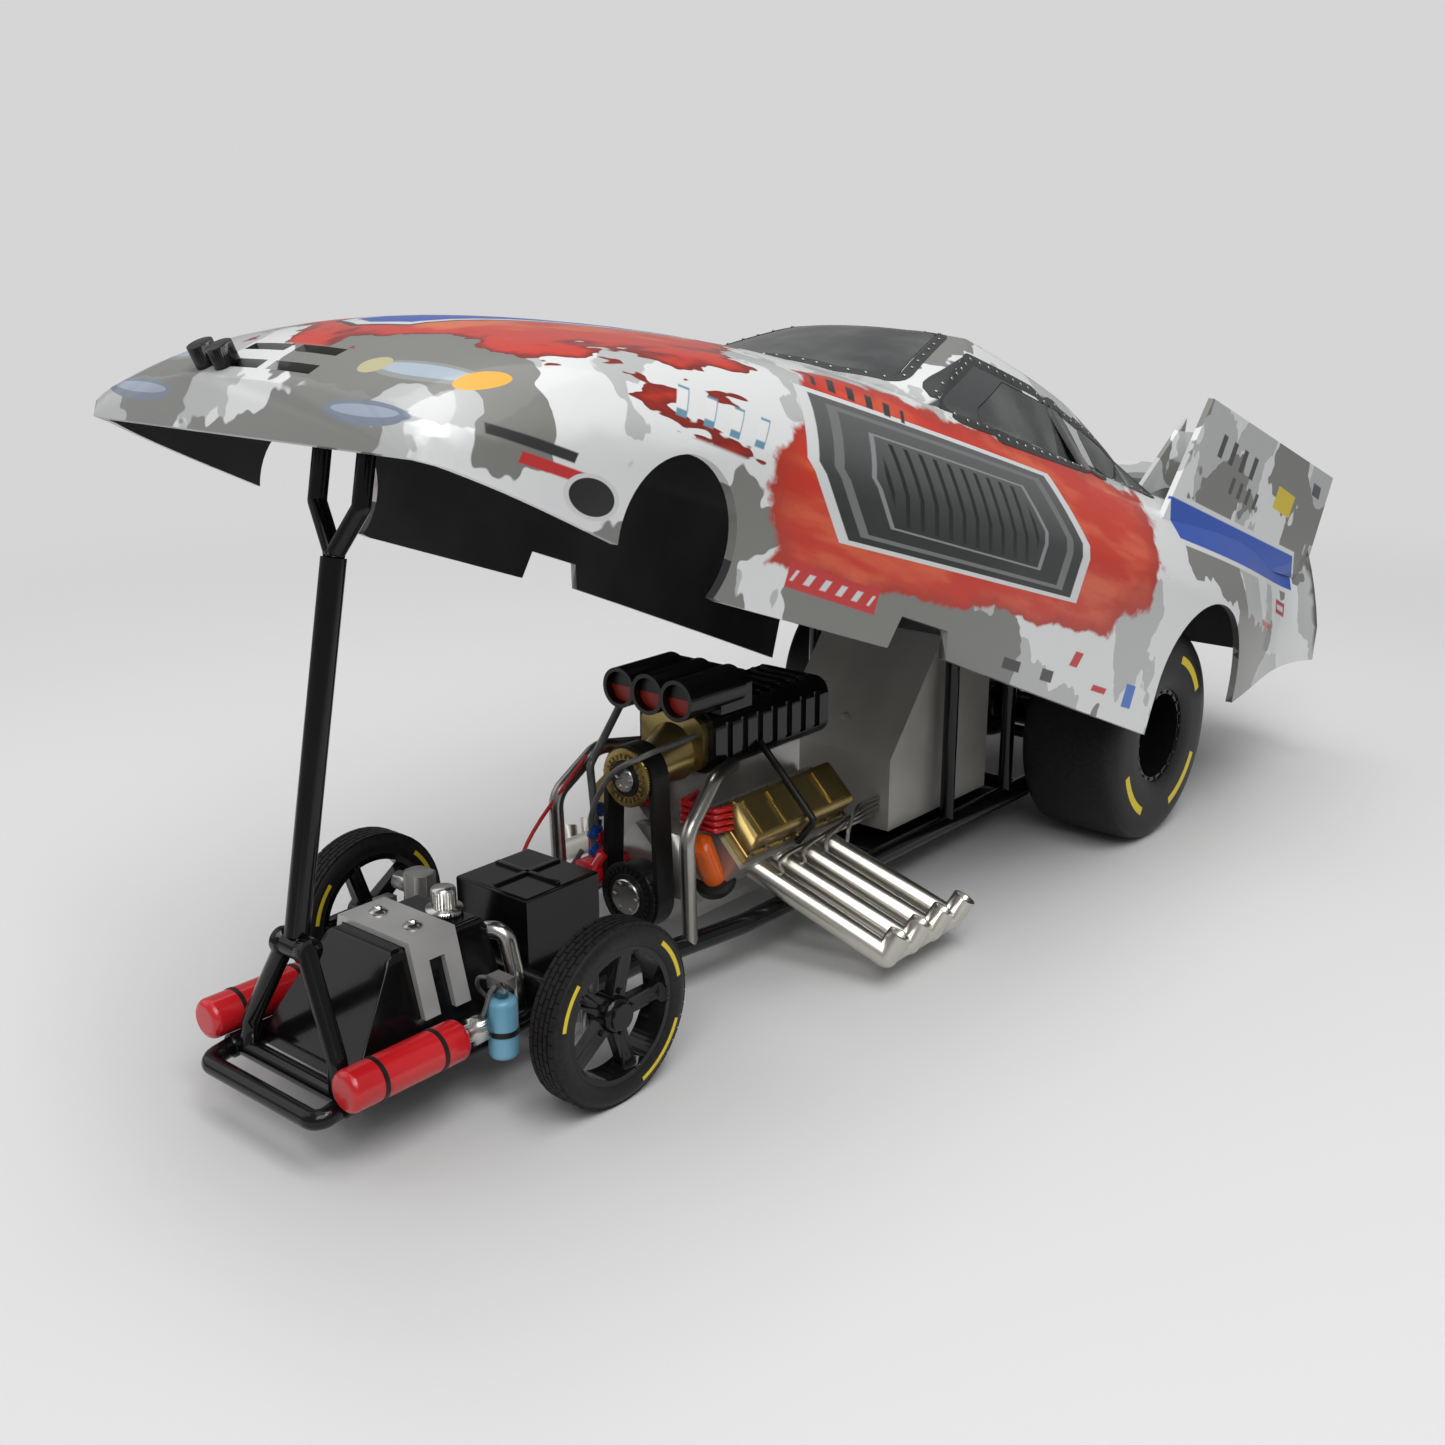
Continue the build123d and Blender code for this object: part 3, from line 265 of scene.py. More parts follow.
def body_paint(look):
    """Camouflage with red flames, a blue hood stripe, a framed dark panel on each side and blank marks."""
    paint = Paint("camouflage paint", Roughness=0.36, Specular_IOR_Level=0.2, Coat_Weight=0.5,
                  Coat_Roughness=0.04)
    step, mix, noise, stretched = paint.step, paint.mix, paint.noise, paint.stretched
    spot = paint.millimetres(OPEN_ANGLE)
    x, y, z = paint.axes(spot)
    across = abs(x)
    on_side, on_plate = step(across, 25.0, 26.0), step(across, 34.3, 34.5)
    layers = []

    def lay(tone, *masks):
        """Covers what lies below with a tone, where every mask is 1."""
        layers.append((tone, reduce(Tap.smaller, masks)))

    def inside(distance, reach=0.0):
        """1 where a distance in mm is below a reach."""
        return step(distance, reach + EDGE, reach - EDGE)

    # Camouflage
    tint = noise(stretched(spot, -1.0, 1.2, 0.9), 0.05, 4.0, 0.48)
    colour = mix(step(tint, 0.505, 0.511), look.paint_white, look.paint_light)
    lay(look.paint_dark, step(noise(spot, 0.042, 4.0, 0.5), 0.53, 0.536))

    # Flames on the hood, dark at their edges and orange inside
    streak = noise(stretched(spot, 0.2, 0.055, 0.2), 1.0, 3.0, 0.55) - 0.5
    ends = step(y, -88.0, -80.0).smaller(step(y, -30.0, -52.0))
    flame = (28.0 - across) / 7.0 + streak * 6.0 - 3.0 * (1.0 - ends)
    tone = mix(step(flame, 0.1, 0.9), (0.2, 0.014, 0.008), look.flash_red)
    tone = mix(step(flame, 1.6, 3.2), tone, (0.68, 0.14, 0.04))
    lay(tone, step(flame, 0.0, 0.07), step(z, 22.0, 22.6), step(y, -29.0, -30.0))

    # Blue wedge along the hood, with a white line and a black one round it
    half_width = 4.5 + (y + 84.0) * 0.16
    stripe = (across - half_width).larger((abs(y + 62.0) - 21.5) * 0.8 + across * 0.3)
    for reach, tone in ((2.0, (0.035, 0.035, 0.04)), (1.3, look.paint_white), (0.0, look.stripe_blue)):
        lay(tone, inside(stripe, reach), step(z, 17.0, 18.0))

    # Ragged red flash along the side
    along = y + 10.0
    rise = z - 27.6 - 0.067 * along
    ahead = abs(along - 9.0 - 0.3 * rise) + 0.8 * abs(rise)
    flash = (abs(rise + 0.6) / FLASH_HALF_HEIGHT).larger(ahead / FLASH_HALF_LENGTH)
    flash = flash + (noise(spot, 0.35, 3.0, 0.6) - 0.5) * 0.14 + (noise(spot, 0.09, 2.0) - 0.5) * 0.45
    glow = noise(stretched(spot, 0.1, 0.06, 0.3), 1.0, 3.0)
    tone = mix(step(glow, 0.42, 0.66), look.flash_red, (0.63, 0.1, 0.04))
    tone = mix(step(flash, 0.8, 1.0), tone, (0.4, 0.03, 0.014))
    lay(tone, step(flash, 1.02, 0.97), on_side)

    # Framed panel of dark slats on the flash, with a painted highlight towards its top
    leaning = along + 0.5 * rise
    ends = (abs(leaning) + 0.55 * abs(rise)) / PANEL_HALF_LENGTH
    panel = (abs(rise) / PANEL_HALF_HEIGHT).larger(ends)
    # Painted highlight: the panel goes from near black at its foot to dark grey at its top
    tone = mix(step(rise, -7.0, 8.0), (0.02, 0.022, 0.022), (0.1, 0.105, 0.105))
    slats = step(leaning.zigzag(1.6), 1.0, 1.25).smaller(step(panel, 0.6, 0.57))
    tone = mix(slats, tone, (0.012, 0.012, 0.013))
    for low, high, ring in PANEL_RINGS:
        tone = mix(step(panel, low - 0.01, low).smaller(step(panel, high, high - 0.01)), tone, ring)
    lay(tone, step(panel, 1.06, 1.05), on_side)

    # Dark front corner of the side window's outline
    ahead, above = y + 11.6, z - 40.6
    corner = (0.622 * above - 0.4 * ahead).larger(0.09 * ahead - 0.1 - above).larger(y - 20.0)
    corner = corner.larger(z - 50.9 - 0.054 * (y - 5.0))
    lay((0.05, 0.052, 0.053), inside(corner), step(across, 12.0, 13.0))

    # Blue bar edged in white along the spill plate
    bar = (abs(z - 41.3 - 0.044 * (y - 51.0)) - 3.2).larger(abs(y - 86.0 + 0.5 * (z - 43.0)) - 31.0)
    for reach, tone in ((0.9, look.paint_white), (0.0, look.stripe_blue)):
        lay(tone, inside(bar, reach), on_plate)

    # Blank bars, dashes and ovals in the place of small marks
    for mark_y, mark_z, long, tall, slant, dash, tone in SIDE_MARKS:
        ahead = y - mark_y - slant * (z - mark_z)
        mark = (abs(ahead) - long).larger(abs(z - mark_z) - tall)
        if dash:
            mark = mark.larger(0.62 * dash - ahead.zigzag(dash))
        lay(tone, inside(mark), on_plate if mark_z > PLATE_FOOT else on_side)
    for mark_x, mark_z, wide, tall, tone in NOSE_MARKS:
        oval = ((across - mark_x) / wide).squared() + ((z - mark_z) / tall).squared()
        lay(tone, step(oval, 1.05, 0.95), step(y, -83.5, -84.5))
    oval = ((y + 76.6) / 3.4).squared() + ((z - 12.4) / 1.9).squared()
    for reach, tone in ((1.5, grey(0.6)), (1.0, grey(0.012))):
        lay(tone, step(oval, reach + 0.05, reach - 0.05), on_side)

    for tone, mask in layers:
        colour = mix(mask, colour, tone)
    return paint.coat(Base_Color=colour, Normal=paint.bump(noise(spot, 0.8, 2.0), 0.05, 0.00002))


def smoked_pane():
    """Thin smoked plastic with an uneven haze."""
    paint = Paint("smoked pane", Roughness=0.1, Coat_Weight=0.5)
    place = paint.millimetres(OPEN_ANGLE)
    haze = paint.noise(place, 0.08, 3.0)
    tone = paint.mix(paint.step(haze, 0.35, 0.65), (0.04, 0.042, 0.043), (0.11, 0.113, 0.112))
    return paint.coat(Base_Color=tone, Alpha=0.72 + 0.12 * haze)


def marked_rubber(name, look, hub, marks, tread_radius):
    """Rubber with plain arcs on the sidewalls: rows of middle radius, half width, first and last turn."""
    paint = Paint(name, Specular_IOR_Level=0.28)
    place = paint.place()
    _, y, z = paint.axes(place)
    away_y, away_z = y - hub.y, z - hub.z
    radius = (away_y * away_y + away_z * away_z).math("SQRT") / MM
    angle = away_z.math("ARCTAN2", away_y) / TURN
    fine = paint.noise(place, 1500.0, 3.0)
    tone = paint.mix(paint.step(fine, 0.3, 0.7), (0.0055, 0.0055, 0.006), grey(0.012))
    lines = radius.zigzag(0.35)
    for middle, half, first, last in marks:
        beyond = abs(angle - (first + last) / 2) - (last - first) / 2
        arc = (abs(radius - middle) - half).larger(beyond * 60.0)
        tone = paint.mix(paint.step(arc, 0.04, -0.04), tone, look.mark_yellow)
    worn_tread = paint.step(radius, tread_radius - 0.3, tread_radius)
    return paint.coat(Base_Color=tone, Roughness=0.42 + 0.16 * worn_tread + 0.1 * fine,
                      Normal=paint.bump(lines, 0.2, 0.00006))


def half_red():
    """Butterfly plates, red below their spindles and black above."""
    paint = Paint("butterfly plates", Roughness=0.4)
    place = paint.millimetres()
    z = paint.axes(place)[2]
    mottle = paint.noise(place, 1.2, 3.0)
    red = paint.mix(mottle, (0.3, 0.012, 0.008), (0.42, 0.025, 0.014))
    return paint.coat(Base_Color=paint.mix(paint.step(z, 40.7, 40.9), red, grey(0.006)))


FINISHES = {}


def make_finishes(look):
    """Every finish of the model, by name."""
    FINISHES.update(
        gloss_black=worn("gloss black", (0.003, 0.003, 0.0035), (0.006, 0.006, 0.007), 0.16, relief=0.000004,
                         Specular_IOR_Level=0.3, Coat_Weight=0.1),
        satin_black=worn("satin black", grey(0.006), grey(0.013), 0.4, Specular_IOR_Level=0.3),
        liner=worn("charcoal liner", (0.035, 0.036, 0.038), (0.055, 0.056, 0.06), 0.45),
        silver=worn("bright plating", (0.5, 0.485, 0.46), (0.66, 0.65, 0.62), 0.24, 1.0),
        header=worn("warm plating", (0.58, 0.555, 0.49), (0.68, 0.66, 0.6), 0.32, 1.0, relief=0.000001),
        tube=worn("brushed tube", (0.3, 0.285, 0.265), (0.42, 0.405, 0.38), 0.3, 1.0),
        cast=worn("grey casting", (0.36, 0.355, 0.34), (0.54, 0.53, 0.51), 0.34, 0.7),
        sheet=worn("grey sheet", (0.4, 0.38, 0.35), (0.49, 0.47, 0.435), 0.4, 0.35, relief=0.000002),
        saddle=worn("satin strap metal", (0.46, 0.455, 0.44), (0.58, 0.575, 0.56), 0.36, 0.4,
                    relief=0.000004),
        gold=worn("gold anodising", (0.3, 0.215, 0.075), (0.42, 0.32, 0.13), 0.3, 0.9),
        red=worn("red moulding", (0.5, 0.008, 0.012), (0.6, 0.014, 0.02), 0.25, Coat_Weight=0.3),
        blue=worn("light blue moulding", (0.13, 0.34, 0.48), (0.18, 0.42, 0.58), 0.3),
        deep_blue=worn("blue fitting", (0.01, 0.06, 0.3), (0.016, 0.09, 0.42), 0.3, 0.4),
        orange=worn("orange moulding", (0.7, 0.1, 0.006), (0.8, 0.14, 0.012), 0.3),
        rivet=worn("rivet heads", grey(0.28), grey(0.4), 0.35, 0.6),
        border=worn("window border", (0.016, 0.017, 0.017), (0.03, 0.031, 0.031), 0.35),
        hose=worn("braided hose", grey(0.12), (0.22, 0.22, 0.215), 0.4, 0.5, 2600.0, 0.00005),
        paint=body_paint(look), glass=smoked_pane(), butterfly=half_red(),
    )


# Nodes in each finish; the rest are gloss black
FINISH_NODES = {
    "blue": "air_bottle",
    "cast": "bellhousing cylinder_heads engine_block intake_manifold steering_knuckles",
    "satin_black": "blower_belt blower_strap driver_seat "
                   "floor_pan grille_inserts injector_collar steering_wheel",
    "gold": "blower_pulleys blower_snout valve_covers",
    "paint": "body_shell rear_spoiler spill_plates spoiler_braces",
    "silver": "bottle_valves rear_axle_shaft tank_fittings",
    "butterfly": "butterflies",
    "sheet": "cockpit_tub",
    "red": "fire_bottles fuel_pump plug_leads",
    "hose": "fuel_lines",
    "header": "headers_left headers_right",
    "orange": "oil_filter",
    "glass": "rear_window side_windows windshield",
    "saddle": "tank_saddle",
    "tube": "vent_tubes",
}
NODE_FINISH = {node: finish for finish, nodes in FINISH_NODES.items() for node in nodes.split()}
# Nodes with large square faces
SQUARE = ("battery_box", "blower_snout", "cockpit_tub", "fuel_tank", "injector_hat", "supercharger",
          "tank_saddle")
# Faces of a node inside a box in another finish: finish, low corner, high corner
SECOND_FINISH = {
    "blower_pulleys": ("satin_black", at(-10, -50, 0), at(10, 0, 20)),
    "steering_wheel": ("sheet", at(-3, 10, 20), at(3, 18.2, 32)),
}
TYRES = ("front_tyre_left", "front_tyre_right", "rear_tyre_left", "rear_tyre_right")


def put(name, data):
    """A new object in the scene."""
    piece = bpy.data.objects.new(name, data)
    bpy.context.scene.collection.objects.link(piece)
    return piece


def baked(piece):
    """A piece's mesh with its modifiers applied."""
    graph = bpy.context.evaluated_depsgraph_get()
    return bpy.data.meshes.new_from_object(piece.evaluated_get(graph))


def settle(name, mesh, body, angle=34.0):
    """Shades a mesh smooth up to its sharp edges and lets it ride a body."""
    mesh.shade_smooth()
    mesh.set_sharp_from_angle(angle=math.radians(angle))
    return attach(put(name, mesh), body)


def flatten(piece, square):
    """Lets large faces set the normals beside rounded edges, and may keep faces square to the axes flat."""
    if square:
        for face in piece.data.polygons:
            face.use_smooth = max(abs(part) for part in face.normal) < 0.99999
    piece.modifiers.new("flat faces", "WEIGHTED_NORMAL").keep_sharp = True
    mesh = baked(piece)
    piece.modifiers.clear()
    piece.data = mesh


def merged(name):
    """A CAD node's triangles as one closed mesh."""
    shape = bmesh.new()
    shape.from_mesh(frame["nodes"][name].data)
    bmesh.ops.remove_doubles(shape, verts=shape.verts, dist=1e-6)
    bmesh.ops.recalc_face_normals(shape, faces=shape.faces)
    return shape


def seat(name, point, direction):
    """Where a line from a point first meets a CAD node, and the surface's normal there."""
    shape = merged(name)
    tree = BVHTree.FromBMesh(shape)
    shape.free()
    place, normal = tree.ray_cast(point, Vector(direction))[:2]
    if place is None:
        raise RuntimeError(f"nothing of {name} lies from {tuple(point)} along {tuple(direction)}")
    return place, normal


def seated(name, rows, down, lift):
    """Scatter rows where lines from rows of (point, along) meet a CAD node, lifted off it by mm."""
    return [(seat(name, point, down)[0] - down * lift * MM, -down, along) for point, along in rows]


class Shape:
    """Gathers turned, swept and square solids into one mesh."""

    def __init__(self):
        self.mesh = bmesh.new()

    def skin(self, rings, closed, slot=0):
        """Faces between rows of points, joined end to end when closed."""
        rows = [[self.mesh.verts.new(point) for point in ring] for ring in rings]
        for row, after in zip(rows, rows[1:] + rows[:1] if closed else rows[1:]):
            for place in range(len(row)):
                following = (place + 1) % len(row)
                face = self.mesh.faces.new((row[place], row[following], after[following], after[place]))
                face.material_index = slot
        return rows

    def lathe(self, profile, centre, axis, sides=40, slot=0):
        """Turns a closed outline of (along, radius) rows in mm about an axis."""
        axis = Vector(axis).normalized()
        turn = axis.to_track_quat("Z", "Y").to_matrix()
        rings = [[centre + axis * along * MM + out * radius * MM for along, radius in profile]
                 for out in spokes(sides, turn.col[0], turn.col[1])]
        self.skin(rings, True, slot)
        return self

    def disc(self, centre, axis, radius, height, sides=24, bevel=0.15, slot=0):
        """A short round boss with a softened rim, in mm."""
        rim = height - bevel
        profile = ((0, 0), (0, radius), (rim, radius), (height, radius - bevel), (height, 0))
        return self.lathe(profile, centre, axis, sides, slot)

    def tube(self, points, radius, sides=10, steps=6):
        """A round hose along a smooth line through points."""
        ends = [2 * points[0] - points[1], *points, 2 * points[-1] - points[-2]]
        line = []
        for a, b, c, d in zip(ends, ends[1:], ends[2:], ends[3:]):
            for step in range(steps):
                t = step / steps
                square, cube = 2 * a - 5 * b + 4 * c - d, 3 * b - a - 3 * c + d
                line.append(0.5 * (2 * b + (c - a) * t + square * t ** 2 + cube * t ** 3))
        line.append(points[-1])
        side = (line[1] - line[0]).orthogonal().normalized()
        rings = []
        for place, point in enumerate(line):
            ahead = (line[min(place + 1, len(line) - 1)] - line[max(place - 1, 0)]).normalized()
            side = (side - ahead * side.dot(ahead)).normalized()
            rings.append([point + out * radius * MM for out in spokes(sides, side, ahead.cross(side))])
        rows = self.skin(rings, False)
        for row in (rows[0], rows[-1]):
            self.mesh.faces.new(row)
        return self

    def slab(self, low, high, bevel):
        """A square block between two corners, with bevelled edges in mm."""
        place = Matrix.Translation((low + high) / 2) @ Matrix.Diagonal((*(high - low), 1.0))
        made = bmesh.ops.create_cube(self.mesh, size=1.0, matrix=place)
        edges = list({edge for vert in made["verts"] for edge in vert.link_edges})
        bmesh.ops.bevel(self.mesh, geom=edges, offset=bevel * MM, segments=2, profile=0.7, affect="EDGES")
        return self

    def finish(self, name, *finishes, body="chassis", angle=34.0):
        bmesh.ops.remove_doubles(self.mesh, verts=self.mesh.verts, dist=1e-7)
        bmesh.ops.recalc_face_normals(self.mesh, faces=self.mesh.faces)
        mesh = bpy.data.meshes.new(name)
        self.mesh.to_mesh(mesh)
        self.mesh.free()
        for finish in finishes:
            mesh.materials.append(FINISHES.get(finish, finish))
        return settle(name, mesh, body, angle)


# Unit solids that the scatter groups repeat
SOLIDS = {
    "bolt": ("GeometryNodeMeshCylinder", {"Vertices": 6, "Radius": 0.5, "Depth": 1.0}),
    "block": ("GeometryNodeMeshCube", {"Size": (1.0, 1.0, 1.0)}),
    "dome": ("GeometryNodeMeshUVSphere", {"Segments": 12, "Rings": 8, "Radius": 0.5}),
}


def link(tree, *rows):
    """Joins sockets by rows of node, output, node, input."""
    for source, output, target, entry in rows:
        tree.links.new(source.outputs[output], target.inputs[entry])


def scatter_group(kind):
    """Node group that stands one unit solid on each point, turned to the point's facing and along vectors."""
    tree = bpy.data.node_groups.new("scatter " + kind, "GeometryNodeTree")
    for name, way, holds in (("Points", "INPUT", "Geometry"), ("Size", "INPUT", "Vector"),
                             ("Finish", "INPUT", "Material"), ("Mesh", "OUTPUT", "Geometry")):
        tree.interface.new_socket(name, in_out=way, socket_type="NodeSocket" + holds)
    new = tree.nodes.new
    given, result = new("NodeGroupInput"), new("NodeGroupOutput")
    solid_node, solid_values = SOLIDS[kind]
    solid = new(solid_node)
    for key, value in solid_values.items():
        solid.inputs[key].default_value = value
    repeat, realize = new("GeometryNodeInstanceOnPoints"), new("GeometryNodeRealizeInstances")
    finish = new("GeometryNodeSetMaterial")
    turn = None
    for name, axis, pivot in (("facing", "Z", "AUTO"), ("along", "X", "Z")):
        read = new("GeometryNodeInputNamedAttribute")
        read.data_type = "FLOAT_VECTOR"
        read.inputs["Name"].default_value = name
        align = new("FunctionNodeAlignRotationToVector")
        align.axis, align.pivot_axis = axis, pivot
        link(tree, (read, "Attribute", align, "Vector"))
        if turn:
            link(tree, (turn, "Rotation", align, "Rotation"))
        turn = align
    link(tree, (given, "Points", repeat, "Points"), (solid, "Mesh", repeat, "Instance"),
         (turn, "Rotation", repeat, "Rotation"), (given, "Size", repeat, "Scale"),
         (repeat, "Instances", realize, "Geometry"), (realize, "Geometry", finish, "Geometry"),
         (given, "Finish", finish, "Material"), (finish, "Geometry", result, "Mesh"))
    return tree


def scatter(name, kind, size, finish, places, body="chassis"):
    """Repeats a unit solid, size in mm, at rows of (point, facing, along), as one plain mesh."""
    tree = bpy.data.node_groups.get("scatter " + kind) or scatter_group(kind)
    points = bpy.data.meshes.new(name + "_points")
    points.from_pydata([tuple(row[0]) for row in places], [], [])
    for column, attribute in ((1, "facing"), (2, "along")):
        values = points.attributes.new(attribute, "FLOAT_VECTOR", "POINT")
        values.data.foreach_set("vector", [part for row in places for part in row[column]])
    carrier = put(name + "_points", points)
    modifier = carrier.modifiers.new("scatter", "NODES")
    modifier.node_group = tree
    inputs = {"Size": [part * MM for part in size], "Finish": FINISHES.get(finish, finish)}
    for item in tree.interface.items_tree:
        if item.name in inputs:
            modifier[item.identifier] = inputs[item.name]
    carrier.update_tag()
    mesh = baked(carrier)
    bpy.data.objects.remove(carrier)
    bpy.data.meshes.remove(points)
    if not mesh.polygons:
        raise RuntimeError(f"{name} came out empty")
    return settle(name, mesh, body)


def line_shell(shape):
    """Puts the liner on faces that look towards the body's spine."""
    for face in shape.faces:
        centre = LOWER @ face.calc_center_median()
        normal = LOWER.to_3x3() @ face.normal
        spine = at(0, 0, 24)
        spine.y = min(max(centre.y, at(0, -72, 0).y), at(0, 98, 0).y)
        face.material_index = 0 if normal.dot(centre - spine) > 0 else 1


class DRAGCAR_OT_finish_solids(bpy.types.Operator):
    """Stands a smooth-shaded copy of every solid in its place, each in its own finish."""
    bl_idname = "dragcar.finish_solids"
    bl_label = "Finish the solids"

    def execute(self, context):
        make_finishes(context.scene.drag_car)
        for name, node in frame["nodes"].items():
            finish = FINISHES[NODE_FINISH.get(name, "gloss_black")]
            node.data.materials.clear()
            node.data.materials.append(finish)
            if name in TYRES:
                continue
            shape = merged(name)
            mesh = bpy.data.meshes.new(name + "_smooth")
            mesh.materials.append(finish)
            if name == "body_shell":
                mesh.materials.append(FINISHES["liner"])
                line_shell(shape)
            if name in SECOND_FINISH:
                second, low, high = SECOND_FINISH[name]
                mesh.materials.append(FINISHES[second])
                for face in shape.faces:
                    middle = face.calc_center_median()
                    face.material_index = int(all(a < b < c for a, b, c in zip(low, middle, high)))
            shape.to_mesh(mesh)
            shape.free()
            copy = settle(name + "_smooth", mesh, BODY_OF[name])
            flatten(copy, name in SQUARE)
            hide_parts(name)
        return {"FINISHED"}


# Windshield, rear, side and quarter windows with the body down: seen from above or from the side, corners
WINDOWS = (
    (True, ((-20.6, -10.6), (-14.2, 6.6), (14.2, 6.6), (20.6, -10.6), (13.0, -14.2), (-13.0, -14.2))),
    (True, ((-15.0, 46.5), (-18.0, 70.0), (18.0, 70.0), (15.0, 46.5))),
    (False, ((-11.6, 40.6), (5.0, 50.9), (25.5, 52.0), (30.6, 44.4))),
    (False, ((34.0, 45.0), (29.4, 51.6), (42.0, 50.6), (56.5, 45.8))),
)
CORNER_RADIUS = 1.6


def rounded_loop(corners, radius, pitch):
    """Evenly spaced points round a polygon with rounded corners, each with its outward direction."""
    points = [Vector(corner) for corner in corners]
    loop = []
    for before, corner, after in zip(points[-1:] + points[:-1], points, points[1:] + points[:1]):
        inward, outward = (before - corner).normalized(), (after - corner).normalized()
        half = inward.angle(outward) / 2
        cut = min(radius / math.tan(half), (before - corner).length / 2.2, (after - corner).length / 2.2)
        start, end = corner + inward * cut, corner + outward * cut
        for step in range(7):
            t = step / 6
            loop.append((1 - t) ** 2 * start + 2 * t * (1 - t) * corner + t * t * end)
    edges = list(zip(loop, loop[1:] + loop[:1]))
    area = sum(a.x * b.y - b.x * a.y for a, b in edges)
    total = sum((b - a).length for a, b in edges)
    count = max(8, round(total / pitch))
    spaced, walked, wanted = [], 0.0, 0.0
    for a, b in edges:
        length = (b - a).length
        while length and wanted <= walked + length and len(spaced) < count:
            spaced.append(a.lerp(b, (wanted - walked) / length))
            wanted += total / count
        walked += length
    outs = []
    for before, after in zip(spaced[-1:] + spaced[:-1], spaced[1:] + spaced[:1]):
        ahead = (after - before).normalized()
        outs.append(Vector((ahead.y, -ahead.x)) * (1 if area > 0 else -1))
    return list(zip(spaced, outs))


def drop_on_skin(skin, point, from_above, side, lift):
    """Point and normal on the raised skin under a point of a window's outline, or None off the skin."""
    if from_above:
        origin, direction = at(point.x, point.y, 80), -UP
    else:
        origin, direction = at(60 * side, point.x, point.y), -LEFT * side
    place, normal = skin.ray_cast(origin, direction, 0.06)[:2]
    if place is None:
        return None
    if normal.dot(direction) > 0:
        normal = -normal
    return RAISE @ (place + normal * lift * MM), RAISE.to_3x3() @ normal


def border_reach(skin, point, out, width, from_above, side):
    """Where the skin starts beyond a window's edge, and how far the strip may reach."""
    reaches = [0.1 * number for number in range(40)]
    on_skin = [bool(drop_on_skin(skin, point + out * reach, from_above, side, 0)) for reach in reaches]
    if True not in on_skin:
        return None, None
    near = on_skin.index(True)
    far = near
    while far + 1 < len(reaches) and on_skin[far + 1] and reaches[far + 1] - reaches[near] <= width:
        far += 1
    return reaches[near], reaches[far]


class DRAGCAR_OT_window_borders(bpy.types.Operator):
    """Lays riveted strips on the body round the windows."""
    bl_idname = "dragcar.window_borders"
    bl_label = "Window borders"

    def execute(self, context):
        look = context.scene.drag_car
        shape = merged("body_shell")
        shape.transform(LOWER)
        skin = BVHTree.FromBMesh(shape)
        shape.free()
        strip, rivets = Shape(), []
        width = look.border_width / MM
        for from_above, corners in WINDOWS:
            for side in ((1,) if from_above else (1, -1)):
                columns = []
                for point, out in rounded_loop(corners, CORNER_RADIUS, 0.5):
                    near, far = border_reach(skin, point, out, width, from_above, side)
                    if near is None:
                        continue
                    spread = [near + (far - near) * share / 6 for share in range(7)]
                    rows = [(near, -0.2), *((reach, 0.08) for reach in spread), (far, -0.2)]
                    columns.append([drop_on_skin(skin, point + out * reach, from_above, side, lift)[0]
                                    for reach, lift in rows])
                strip.skin(columns, True)
                for point, out in rounded_loop(corners, CORNER_RADIUS, look.rivet_pitch / MM):
                    near, far = border_reach(skin, point, out, width, from_above, side)
                    if near is not None and far - near > 0.6 * width:
                        found = drop_on_skin(skin, point + out * (near + far) / 2, from_above, side, 0.12)
                        rivets.append((*found, RAISE.to_3x3() @ BACK))
        strip.finish("window_borders", "border", body="flip_body")
        size = look.rivet_size / MM
        scatter("window_rivets", "dome", (size, size, size * 0.6), "rivet", rivets, "flip_body")
        return {"FINISHED"}


def mirrored(profile):
    """A half outline of (along, radius) rows, closed by its mirror image."""
    return [*profile, *((-along, radius) for along, radius in reversed(profile))]


# Half outlines of the tyres: along the axle from the middle, radius
FRONT_OUTLINE = ((2.05, 8.92), (2.34, 9.5), (2.4, 10.3), (2.3, 10.9), (2.05, 11.35), (1.9, 11.55),
                 (1.0, 11.62))
REAR_OUTLINE = ((8.5, 8.32), (9.0, 9.3), (9.2, 11.5), (9.2, 14.6), (9.05, 16.4), (8.6, 17.7), (7.9, 18.5),
                (6.8, 18.86), (5.0, 18.97), (2.5, 19.0))
TREAD_RADIUS, TREAD_WIDTH = 11.86, 3.9
FRONT_MARKS = ((10.25, 0.3, 0.03, 0.13), (10.25, 0.3, -0.2, -0.06), (10.25, 0.3, 0.38, 0.47))
REAR_MARKS = ((13.8, 0.7, 0.07, 0.19), (13.8, 0.7, -0.2, -0.07), (13.8, 0.7, -0.45, -0.33))


def add_tread(name, centre, look, rubber):
    """Rows of blocks, each row turned half a block from the next."""
    pitch = TREAD_WIDTH / look.tread_rows
    places = []
    for row in range(look.tread_rows):
        offset = (row - (look.tread_rows - 1) / 2) * pitch * MM
        for out in spokes(look.tread_blocks, BACK, UP, 0.5 * (row % 2)):
            places.append((centre + LEFT * offset + out * (TREAD_RADIUS - 0.25) * MM, out, LEFT))
    length = TURN * TREAD_RADIUS / look.tread_blocks - 0.14
    scatter(name + "_tread", "block", (pitch - 0.2, length, 0.46), rubber, places, BODY_OF[name])


